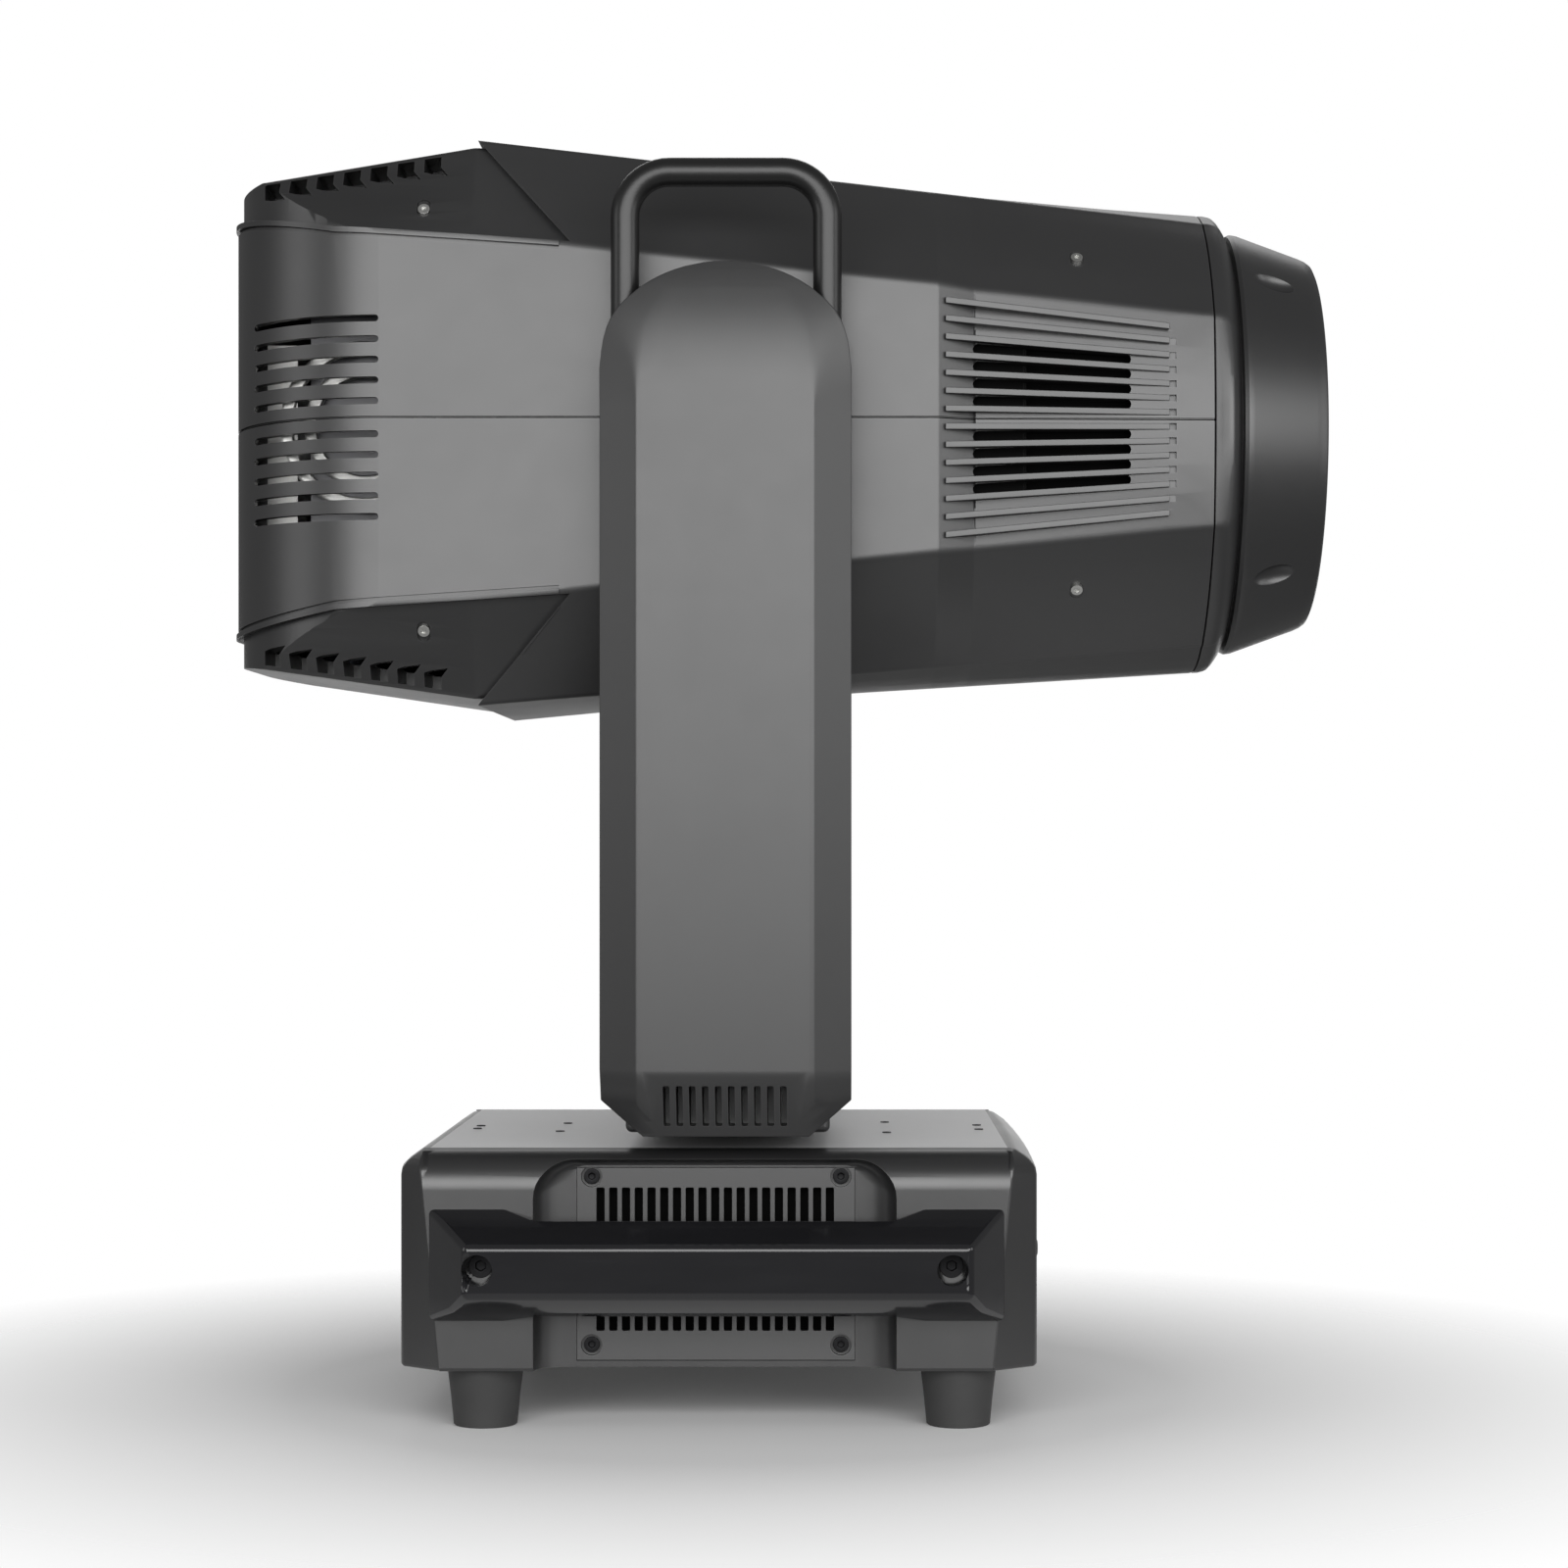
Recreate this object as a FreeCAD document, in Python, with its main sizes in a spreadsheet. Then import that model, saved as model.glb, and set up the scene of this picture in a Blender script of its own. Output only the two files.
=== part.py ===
"""Moving head light: a base box, a yoke that pans on it and a head that tilts in the yoke.

Millimetres. +X is the beam's direction at rest, +Y the tilt axis, +Z up. The origin is on the pan
axis, level with the bottoms of the feet.
"""

import FreeCAD, Part
import math
import os
import Sketcher
from FreeCAD import Vector

doc = FreeCAD.newDocument("moving_head_light")

# Driving dimensions. Heights starting with head_ are counted from the tilt axis.
SIZES = {
    "tilt_height": 643,
    "wall": 3,
    # base box
    "foot_height": 38,
    "foot_top_radius": 24.5,
    "foot_bottom_radius": 20.4,
    "foot_rear_x": -155,
    "foot_front_x": 147,
    "foot_side_y": 155,
    "base_rear_x": -208.5,
    "base_front_x": 197,
    "base_half_width": 187,
    "base_top": 177,
    "side_rear_x": -187,
    "side_front_x": 175.5,
    "plate_half_width": 162,
    "plate_thickness": 2,
    "roll_radius": 25,
    "corner_width": 26,
    "recess_rear_x": -121,
    "recess_front_x": 106,
    "recess_depth": 20,
    "recess_bottom": 45,
    "recess_top": 171,
    "slot_width": 5.1,
    "slot_pitch": 8.1,
    "slot_count": 19,
    "slot_start_x": -82.8,
    "slot_height": 40,
    "slot_low_z": 61,
    "slot_high_z": 112,
    # carry handles on the base
    "grip_front_y": 232,
    "grip_rear_y": 200,
    "grip_bolt_rear_x": -153,
    "grip_bolt_front_x": 141,
    "grip_bolt_z": 107,
    "grip_bore_radius": 9.7,
    # yoke
    "arm_inner_y": 168,
    "arm_outer_y": 225,
    "arm_half_width": 78.5,
    "arm_flat_half_width": 55,
    "arm_chamfer_depth": 14,
    "arm_top_radius": 91,
    "arm_bottom": 187,
    "arm_plate": 4,
    "crossbar_top": 222,
    "crossbar_half_width": 65,
    "bail_rod_radius": 9,
    "bail_half_width": 63.5,
    "bail_y": 195,
    "bail_rise": 149,
    "bail_bend": 28,
    # drives
    "pan_shaft_radius": 30,
    "pan_pulley_radius": 60,
    "pan_pinion_radius": 12,
    "pan_motor_x": -110,
    "tilt_shaft_radius": 20,
    "tilt_pulley_radius": 50,
    "tilt_pinion_radius": 10,
    "tilt_motor_drop": 200,
    "belt_gap": 0.3,
    "belt_thickness": 2,
    "running_gap": 0.05,
    # head
    "head_half_width": 158,
    "head_half_height": 183,
    "head_facet_z": 117,
    "head_facet_y": 130,
    "head_rear_x": -330,
    "head_shoulder_x": -164,
    "head_front_x": 312,
    "head_front_radius": 155,
    "head_front_low_angle": 26,
    "head_front_high_angle": 64.8,
    "head_corner_radius": 110,
    "head_wall": 4,
    "vent_recess": 3.5,
    "collar_length": 18,
    "hood_rear_radius": 143,
    "hood_front_radius": 124,
    "hood_length": 59,
    "lens_radius": 112,
    "fin_pitch": 11,
    "fin_count": 14,
    "fin_thickness": 4,
    "rail_y": 100,
    "rail_radius": 4,
}

sheet = doc.addObject("Spreadsheet::Sheet", "Sizes")
for row, (alias, value) in enumerate(SIZES.items(), start=1):
    sheet.set(f"A{row}", alias)
    sheet.set(f"B{row}", str(value))
    sheet.setAlias(f"B{row}", alias)
doc.recompute()


def size(alias):
    """The number in the sheet under this alias."""
    return float(getattr(sheet, alias))


def formula(text):
    """A formula in sheet words, with every alias pointed at the sheet."""
    words = []
    word = ""
    for letter in str(text) + " ":
        if letter.isalnum() or letter in "_.":
            word += letter
            continue
        words.append(f"Sizes.{word}" if word in SIZES else word)
        words.append(letter)
        word = ""
    return "".join(words).strip()


def bind(item, **formulas):
    """Bind properties of a document object to formulas."""
    for name, text in formulas.items():
        item.setExpression(name, formula(text))
    return item


def place(item, x=0, y=0, z=0):
    """Bind an object's position."""
    for axis, text in (("x", x), ("y", y), ("z", z)):
        item.setExpression(f"Placement.Base.{axis}", formula(text))
    return item


def box(name, x, y, z):
    """A block between two planes along each axis; x, y and z are (low, high) formulas."""
    item = doc.addObject("Part::Box", name)
    bind(item, Length=f"({x[1]}) - ({x[0]})", Width=f"({y[1]}) - ({y[0]})", Height=f"({z[1]}) - ({z[0]})")
    return place(item, x[0], y[0], z[0])


TURNS = {
    "z": FreeCAD.Rotation(),
    "x": FreeCAD.Rotation(Vector(0, 1, 0), 90),
    "y": FreeCAD.Rotation(Vector(1, 0, 0), -90),
}


def rod(name, axis, radius, length, x=0, y=0, z=0, angle=360):
    """A cylinder that starts at a point and runs along +axis."""
    item = doc.addObject("Part::Cylinder", name)
    item.Placement = FreeCAD.Placement(Vector(), TURNS[axis])
    bind(item, Radius=radius, Height=length)
    item.Angle = angle
    return place(item, x, y, z)


def cone(name, axis, radius_low, radius_high, length, x=0, y=0, z=0):
    """A cone that starts at a point and runs along +axis."""
    item = doc.addObject("Part::Cone", name)
    item.Placement = FreeCAD.Placement(Vector(), TURNS[axis])
    bind(item, Radius1=radius_low, Radius2=radius_high, Height=length)
    return place(item, x, y, z)


def fuse(name, *items):
    """The union of objects."""
    item = doc.addObject("Part::MultiFuse", name)
    item.Shapes = list(items)
    return item


def group(name, *items):
    """Separate solids kept side by side in one node."""
    item = doc.addObject("Part::Compound", name)
    item.Links = list(items)
    return item


def common(name, *items):
    """What objects share."""
    item = doc.addObject("Part::MultiCommon", name)
    item.Shapes = list(items)
    return item


def cut(name, base, *tools):
    """A base with tools taken away."""
    item = doc.addObject("Part::Cut", name)
    item.Base = base
    item.Tool = tools[0] if len(tools) == 1 else group(name + "_tools", *tools)
    return item


def mirror(name, source):
    """The twin of an object on the other side of the XZ plane."""
    item = doc.addObject("Part::Mirroring", name)
    item.Source = source
    item.Normal = Vector(0, 1, 0)
    return item


def outline(body, name, plane, corners):
    """A closed sketch on one of a body's own planes; every corner is bound to two formulas."""
    sketch = body.newObject("Sketcher::SketchObject", name)
    support = [f for f in body.Origin.OriginFeatures if f.Role == plane][0]
    sketch.AttachmentSupport = [(support, "")]
    sketch.MapMode = "FlatFace"
    count = len(corners)
    probe = doc.addObject("App::FeaturePython", name + "_probe")
    probe.addProperty("App::PropertyFloat", "Number")
    spots = []
    for corner in corners:
        spot = []
        for text in corner:
            probe.setExpression("Number", formula(text))
            doc.recompute()
            spot.append(float(probe.Number))
        spots.append(Vector(spot[0], spot[1], 0))
    doc.removeObject(probe.Name)
    for index in range(count):
        sketch.addGeometry(Part.LineSegment(spots[index], spots[(index + 1) % count]), False)
    for index in range(count):
        sketch.addConstraint(Sketcher.Constraint("Coincident", index, 2, (index + 1) % count, 1))
    for index, corner in enumerate(corners):
        for kind, text, value in zip(("DistanceX", "DistanceY"), corner, spots[index]):
            number = sketch.addConstraint(Sketcher.Constraint(kind, -1, 1, index, 1, value))
            sketch.setExpression(f"Constraints[{number}]", formula(text))
    return sketch


def padded(name, plane, corners, length):
    """A body: one outline padded along its plane's normal (XZ pads towards -Y)."""
    body = doc.addObject("PartDesign::Body", name)
    sketch = outline(body, name + "_outline", plane, corners)
    pad = body.newObject("PartDesign::Pad", name + "_pad")
    pad.Profile = sketch
    bind(pad, Length=length)
    return body


def solid(name, shape):
    """A document object that holds a shape worked out below."""
    item = doc.addObject("Part::Feature", name)
    item.Shape = shape
    return item


# ---------------------------------------------------------------- base

BASE_FLOOR = "foot_height"


def base_tray():
    """Sheet tray: a floor with holes for a hanging bracket, and two low end walls."""
    floor = box("tray_floor", ("side_rear_x", "side_front_x"), ("-plate_half_width", "plate_half_width"),
                (BASE_FLOOR, f"{BASE_FLOOR} + wall"))
    rear = box("tray_rear_wall", ("side_rear_x", "side_rear_x + plate_thickness"),
               ("-150", "150"), (BASE_FLOOR, "base_top - 10"))
    front = box("tray_front_wall", ("side_front_x - plate_thickness", "side_front_x"),
                ("-150", "150"), (BASE_FLOOR, "base_top - 10"))
    holes = [rod(f"bracket_hole_{i}{j}", "z", "5.2", "20", x, y, "foot_height - 5")
             for i, x in enumerate(("-70", "70")) for j, y in enumerate(("-53", "53"))]
    holes.append(rod("safety_hole", "z", "8", "20", "0", "120", "foot_height - 5"))
    return cut("base_tray", fuse("tray_sheet", floor, rear, front), *holes)


def base_top_plate():
    """Sheet top with a boss that holds the pan bearing."""
    sheet_top = box("top_sheet", ("side_rear_x", "side_front_x"), ("-plate_half_width", "plate_half_width"),
                    ("base_top - plate_thickness", "base_top"))
    boss = rod("bearing_boss", "z", "52", "20", "0", "0", "base_top - 22")
    hole = rod("bearing_seat", "z", "45", "40", "0", "0", "base_top - 30")
    return cut("base_top_plate", fuse("top_sheet_and_boss", sheet_top, boss), hole)


def side_shell(name, inset):
    """The outside of a side cover, or its inside when inset by the wall."""
    flank = box(name + "_flank", ("side_rear_x", "side_front_x"),
                (f"-base_half_width + {inset}", "-plate_half_width"), (BASE_FLOOR, "base_top - roll_radius"))
    roll = rod(name + "_roll", "x", f"roll_radius - {inset}", "side_front_x - side_rear_x",
               "side_rear_x", "-plate_half_width", "base_top - roll_radius")
    keep = box(name + "_keep", ("side_rear_x", "side_front_x"), ("-base_half_width", "-plate_half_width"),
               ("base_top - roll_radius", "base_top"))
    return fuse(name, flank, common(name + "_quarter", roll, keep))


def side_cover():
    """Left side cover with a rolled top edge and a window whose four walls run in to the vent panel."""
    skin = cut("side_skin", side_shell("side_outside", "0"), side_shell("side_inside", "wall"))
    window = box("side_window", ("recess_rear_x", "recess_front_x"), ("-base_half_width - 5", "-100"),
                 ("recess_bottom", "recess_top"))
    frame_block = box("window_block", ("recess_rear_x - wall", "recess_front_x + wall"),
                      ("-base_half_width", "-base_half_width + recess_depth"),
                      ("recess_bottom - wall", "recess_top + wall"))
    frame_ring = common("window_walls", frame_block, side_shell("side_limit", "0"))
    holes = [rod(f"side_bolt_hole_{i}", "y", "4.2", "20", x, "-base_half_width - 5", "grip_bolt_z")
             for i, x in enumerate(("grip_bolt_rear_x", "grip_bolt_front_x"))]
    return cut("side_cover_left", fuse("side_skin_and_walls", skin, frame_ring), window, *holes)


def vent_panel():
    """Left vent panel: a plate with two rows of slots."""
    body = padded("vent_panel_left", "XZ_Plane",
                  (("recess_rear_x", "recess_bottom"), ("recess_front_x", "recess_bottom"),
                   ("recess_front_x", "recess_top - 6"), ("recess_rear_x", "recess_top - 6")), "wall")
    bind(body, **{"Placement.Base.y": "-base_half_width + recess_depth + wall"})
    for label, low in (("low", "slot_low_z"), ("high", "slot_high_z")):
        sketch = outline(body, f"slot_{label}", "XZ_Plane",
                         (("slot_start_x", low), ("slot_start_x + slot_width", low),
                          ("slot_start_x + slot_width", f"{low} + slot_height"),
                          ("slot_start_x", f"{low} + slot_height")))
        pocket = body.newObject("PartDesign::Pocket", f"slot_{label}_pocket")
        pocket.Profile = sketch
        pocket.Type = "ThroughAll"
        pocket.Midplane = True
        row = body.newObject("PartDesign::LinearPattern", f"slot_{label}_row")
        row.Originals = [pocket]
        row.Direction = (sketch, ["H_Axis"])
        bind(row, Length="slot_pitch * (slot_count - 1)", Occurrences="slot_count")
        body.Tip = row
    return body


def end_cover(name, inner_x, outer_x):
    """A hollow end cover with cut corners."""
    way = "-" if outer_x == "base_rear_x" else "+"
    back = "+" if way == "-" else "-"
    shape = padded(name + "_block", "XY_Plane",
                   ((inner_x, "-base_half_width"), (outer_x, "-base_half_width + corner_width"),
                    (outer_x, "base_half_width - corner_width"), (inner_x, "base_half_width")),
                   "base_top - foot_height - 4")
    bind(shape, **{"Placement.Base.z": BASE_FLOOR})
    hollow = padded(name + "_hollow", "XY_Plane",
                    ((f"{inner_x} {back} 1", "-base_half_width + 2 * wall"),
                     (f"{outer_x} {back} wall", "-base_half_width + corner_width + wall"),
                     (f"{outer_x} {back} wall", "base_half_width - corner_width - wall"),
                     (f"{inner_x} {back} 1", "base_half_width - 2 * wall")),
                    "base_top - foot_height - 4 - 2 * wall")
    bind(hollow, **{"Placement.Base.z": f"{BASE_FLOOR} + wall"})
    return cut(name + "_shell", shape, hollow)


BUTTON_Y = (-66, -88, -110, -132)
BUTTON_Z = 110
BUTTON_RADIUS = 6


def front_end_cover():
    """The end cover that carries the display and the four menu buttons."""
    window = box("display_hole", ("150", "base_front_x + 5"), ("-45", "45"), ("85", "135"))
    holes = [rod(f"button_hole_{i + 1}", "x", f"{BUTTON_RADIUS} + 0.3", "60", "150", str(y), str(BUTTON_Z))
             for i, y in enumerate(BUTTON_Y)]
    return cut("front_end_cover", end_cover("front_end", "side_front_x", "base_front_x"), window, *holes)


SOCKET_Y = {"power": (-120, -70), "data": (-15, 25, 65), "network": 110}
SOCKET_Z = 105


def rear_end_cover():
    """The end cover that carries the sockets."""
    holes = [rod(f"power_hole_{i}", "x", "14.2", "40", "base_rear_x - 5", str(y), str(SOCKET_Z))
             for i, y in enumerate(SOCKET_Y["power"])]
    holes += [rod(f"data_hole_{i}", "x", "12.2", "40", "base_rear_x - 5", str(y), str(SOCKET_Z))
              for i, y in enumerate(SOCKET_Y["data"])]
    holes.append(rod("network_hole", "x", "12.2", "40", "base_rear_x - 5",
                     str(SOCKET_Y["network"]), str(SOCKET_Z)))
    return cut("rear_end_cover", end_cover("rear_end", "side_rear_x", "base_rear_x"), *holes)


def socket(name, radius, bore, y):
    """A round panel socket with a flange outside the cover and an open mouth."""
    flange = rod(name + "_flange", "x", f"{radius} + 3", "2", "base_rear_x - 2", str(y), str(SOCKET_Z))
    barrel = rod(name + "_barrel", "x", str(radius), "18", "base_rear_x - 0.5", str(y), str(SOCKET_Z))
    mouth = rod(name + "_mouth", "x", str(bore), "14", "base_rear_x - 4", str(y), str(SOCKET_Z))
    return cut(name, fuse(name + "_body", flange, barrel), mouth)


def menu_button(index):
    """A round menu button that travels into the front end cover."""
    return rod(f"menu_button_{index + 1}", "x", str(BUTTON_RADIUS), "10", "base_front_x - 8",
               str(BUTTON_Y[index]), str(BUTTON_Z))


def display_window():
    """The clear window over the display."""
    return box("display_window", ("base_front_x - wall", "base_front_x - 0.6"),
               ("-44.7", "44.7"), ("85.3", "134.7"))


def feet():
    """Four tapered round feet."""
    return group("feet", *[
        cone(f"foot_{i}{j}", "z", "foot_bottom_radius", "foot_top_radius", "foot_height", x, y)
        for i, x in enumerate(("foot_rear_x", "foot_front_x"))
        for j, y in enumerate(("-foot_side_y", "foot_side_y"))])


def carry_handle():
    """Left carry handle: a bar across the vent panel on two pillars, with sloping faces."""
    plan = padded("grip_plan", "XY_Plane",
                  (("-188.6", "-base_half_width"), ("-161", "-grip_front_y"), ("153", "-grip_front_y"),
                   ("176", "-base_half_width"), ("recess_front_x + 14", "-base_half_width"),
                   ("recess_front_x", "-grip_rear_y"), ("recess_rear_x", "-grip_rear_y"),
                   ("recess_rear_x - 14", "-base_half_width")), "100")
    bind(plan, **{"Placement.Base.z": "55"})
    profile = padded("grip_profile", "YZ_Plane",
                     (("-base_half_width", "69"), ("-base_half_width - 28", "79"), ("-grip_front_y", "90"),
                      ("-grip_front_y", "122"), ("-base_half_width", "142")), "400")
    bind(profile, **{"Placement.Base.x": "-200"})
    cuts = []
    for i, x in enumerate(("grip_bolt_rear_x", "grip_bolt_front_x")):
        cuts.append(rod(f"grip_counterbore_{i}", "y", "grip_bore_radius", "22",
                        x, "-grip_front_y - 2", "grip_bolt_z"))
        cuts.append(rod(f"grip_bolt_hole_{i}", "y", "4.2", "60", x, "-grip_front_y - 2", "grip_bolt_z"))
    return cut("carry_handle_left", common("grip_block", plan, profile), *cuts)


def handle_bolts():
    """Four socket bolts that hold the carry handles."""
    bolts = []
    for i, x in enumerate(("grip_bolt_rear_x", "grip_bolt_front_x")):
        head = rod(f"bolt_head_{i}", "y", "8", "8", x, "-grip_front_y + 12", "grip_bolt_z")
        shank = rod(f"bolt_shank_{i}", "y", "4", "33", x, "-grip_front_y + 19", "grip_bolt_z")
        key = rod(f"bolt_key_{i}", "y", "3.2", "5", x, "-grip_front_y + 11", "grip_bolt_z")
        bolts.append(cut(f"grip_bolt_{i}", fuse(f"bolt_{i}", head, shank), key))
    left = group("left_bolts", *bolts)
    return group("handle_bolts", left, mirror("right_bolts", left))


def panel_screws():
    """Eight countersunk screws on the two vent panels."""
    screws = [rod(f"panel_screw_{i}{j}", "y", "5.5", "2.5", x, "-base_half_width + recess_depth - 2.5", z)
              for i, x in enumerate(("-86.5", "72")) for j, z in enumerate(("52", "159"))]
    left = group("left_screws", *screws)
    return group("panel_screws", left, mirror("right_screws", left))


def base_inside():
    """Power supply, control board and cooling fan."""
    supply = box("power_supply", ("-60", "140"), ("-140", "-60"), ("foot_height + 2 * wall", "110"))
    board = box("main_board", ("-60", "140"), ("60", "150"), ("60", "64"))
    fan_low, spoke_top = "foot_height + wall + 5", "foot_height + wall + 7"
    frame_block = box("fan_block", ("90", "150"), ("-30", "30"), (fan_low, "foot_height + wall + 20"))
    frame_hole = rod("fan_hole", "z", "28", "40", "120", "0", "foot_height")
    fan_post = rod("fan_post", "z", "4", "6", "120", "0", fan_low)
    spokes = [box("fan_spoke_x", ("90", "150"), ("-2", "2"), (fan_low, spoke_top)),
              box("fan_spoke_y", ("118", "122"), ("-30", "30"), (fan_low, spoke_top))]
    fuse("base_fan_frame", cut("fan_ring", frame_block, frame_hole), fan_post, *spokes)
    rotor = rod("fan_rotor_disc", "z", "26.5", "8", "120", "0", "foot_height + wall + 9")
    bore = rod("fan_rotor_bore", "z", "4 + running_gap", "20", "120", "0", "foot_height + wall + 5")
    cut("base_fan_rotor", rotor, bore)
    return supply, board


# ---------------------------------------------------------------- pan drive

BELT_LOW = 122
BELT_HIGH = 140


def belt(name, big, small, gap, thick, low, high, length):
    """A closed flat belt round two pulleys, the small one at +length along X, axes along Z."""

    def loop(extra):
        lean = math.asin((big - small) / length)
        tall, short = big + gap + extra, small + gap + extra
        side = Vector(math.sin(lean), math.cos(lean), 0)
        under = Vector(side.x, -side.y, 0)
        far = Vector(length, 0, 0)
        edges = [
            Part.Arc(under * tall, Vector(-tall, 0, 0), side * tall).toShape(),
            Part.LineSegment(side * tall, far + side * short).toShape(),
            Part.Arc(far + side * short, far + Vector(short, 0, 0), far + under * short).toShape(),
            Part.LineSegment(far + under * short, under * tall).toShape(),
        ]
        return Part.Face(Part.Wire(edges)).extrude(Vector(0, 0, high - low))

    ring = loop(thick).cut(loop(0))
    ring.translate(Vector(0, 0, low))
    return ring


def pan_drive():
    """Pan shaft, bearing, pulley, belt, pinion and motor."""
    tube = rod("shaft_tube", "z", "pan_shaft_radius", f"arm_bottom - {BELT_LOW}", "0", "0", str(BELT_LOW))
    wire_way = rod("shaft_wire_way", "z", "pan_shaft_radius - 8", "100", "0", "0", "110")
    cut("pan_shaft", tube, wire_way)
    race = rod("bearing_race", "z", "45", "18", "0", "0", "base_top - 22")
    race_bore = rod("bearing_bore", "z", "pan_shaft_radius + running_gap", "40", "0", "0", "base_top - 30")
    cut("pan_bearing", race, race_bore)
    wheel = rod("pan_wheel", "z", "pan_pulley_radius", f"{BELT_HIGH} - {BELT_LOW}", "0", "0", str(BELT_LOW))
    wheel_bore = rod("pan_wheel_bore", "z", "pan_shaft_radius", "60", "0", "0", "110")
    cut("pan_pulley", wheel, wheel_bore)
    pinion = rod("pan_pinion_wheel", "z", "pan_pinion_radius", f"{BELT_HIGH} - {BELT_LOW}",
                 "pan_motor_x", "0", str(BELT_LOW))
    pinion_bore = rod("pan_pinion_bore", "z", "4 + running_gap", "60", "pan_motor_x", "0", "110")
    cut("pan_pinion", pinion, pinion_bore)
    case = box("pan_motor_case", ("pan_motor_x - 28", "pan_motor_x + 28"), ("-28", "28"), ("60", "118"))
    spindle = rod("pan_motor_spindle", "z", "4", "30", "pan_motor_x", "0", "112")
    fuse("pan_motor", case, spindle)
    ring = belt("pan_belt", size("pan_pulley_radius"), size("pan_pinion_radius"), size("belt_gap"),
                size("belt_thickness"), BELT_LOW + 2, BELT_HIGH - 2, -size("pan_motor_x"))
    ring.rotate(Vector(), Vector(0, 0, 1), 180)
    solid("pan_belt", ring)


# ---------------------------------------------------------------- yoke

TILT = "tilt_height"


def arm_outline(name, inset):
    """The arm's side outline, arched round the tilt axis, as a slab along Y."""
    half = size("arm_half_width") - inset
    arch = size("arm_top_radius") - inset
    top = size("tilt_height")
    foot = size("arm_bottom") + inset
    spring = math.sqrt(arch ** 2 - half ** 2)
    low_half = 52 - inset
    points = [Vector(-half, 0, top + spring), Vector(-half, 0, foot + 23), Vector(-low_half, 0, foot),
              Vector(low_half, 0, foot), Vector(half, 0, foot + 23), Vector(half, 0, top + spring)]
    edges = [Part.LineSegment(a, b).toShape() for a, b in zip(points, points[1:])]
    edges.append(Part.Arc(points[-1], Vector(0, 0, top + arch), points[0]).toShape())
    slab = Part.Face(Part.Wire(edges)).extrude(Vector(0, -300, 0))
    return solid(name, slab)


def arm_profile(name, inset):
    """The arm's end-on profile: its face leans in at the foot and curves back over the arch."""
    outer = -size("arm_outer_y") + inset
    inner = -size("arm_inner_y") - size("arm_plate")
    top = size("tilt_height")
    foot = size("arm_bottom") + inset
    crown = top + size("arm_top_radius")
    start, middle, end = (Vector(-200, outer, top + 32), Vector(-200, outer + 6, top + 66),
                          Vector(-200, outer + 26, crown))
    points = [end, Vector(-200, inner, crown), Vector(-200, inner, foot), Vector(-200, outer + 26, foot),
              Vector(-200, outer, foot + 43), start]
    edges = [Part.LineSegment(a, b).toShape() for a, b in zip(points, points[1:])]
    edges.append(Part.Arc(start, middle, end).toShape())
    return solid(name, Part.Face(Part.Wire(edges)).extrude(Vector(400, 0, 0)))


def arm_section(name, inset):
    """The arm's plan section: a flat face with a chamfer down each long edge."""
    inner = "-arm_inner_y - arm_plate"
    body = padded(name, "XY_Plane",
                  ((f"-arm_half_width + {inset}", inner),
                   (f"-arm_half_width + {inset}", "-arm_outer_y + arm_chamfer_depth"),
                   (f"-arm_flat_half_width + {inset} / 2", f"-arm_outer_y + {inset}"),
                   (f"arm_flat_half_width - {inset} / 2", f"-arm_outer_y + {inset}"),
                   (f"arm_half_width - {inset}", "-arm_outer_y + arm_chamfer_depth"),
                   (f"arm_half_width - {inset}", inner)), "600")
    bind(body, **{"Placement.Base.z": "arm_bottom - 20"})
    return body


def arm_cover():
    """Left arm cover: a hollow shell, open towards the head, with vent slots at its foot."""
    outside = common("arm_outside", arm_outline("arm_outer_outline", 0), arm_profile("arm_outer_profile", 0),
                     arm_section("arm_outer_section", "0"))
    wall = size("wall")
    inside = common("arm_inside", arm_outline("arm_inner_outline", wall),
                    arm_profile("arm_inner_profile", wall), arm_section("arm_inner_section", "wall"))
    slots = [box(f"arm_slot_{i}", (str(-38.5 + 8 * i), str(-34.5 + 8 * i)),
                 ("-arm_outer_y - 5", "-arm_outer_y + 30"), ("193", "219")) for i in range(10)]
    grip_holes = [rod(f"grip_hole_{i}", "z", "bail_rod_radius + 0.2", "200", x, "-bail_y", "tilt_height + 20")
                  for i, x in enumerate(("-bail_half_width", "bail_half_width"))]
    return cut("arm_cover_left", outside, inside, *slots, *grip_holes)


def arm_frame():
    """Left arm frame: a plate that closes the arm towards the head and carries the tilt bearing."""
    slab = box("arm_plate_slab", ("-200", "200"), ("-arm_inner_y - arm_plate", "-arm_inner_y"), ("0", "1000"))
    plate = common("arm_plate_sheet", slab, arm_outline("arm_plate_outline", 0))
    hole = rod("arm_plate_hole", "y", "32", "60", "0", "-arm_outer_y", TILT)
    return cut("arm_frame_left", plate, hole)


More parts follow.
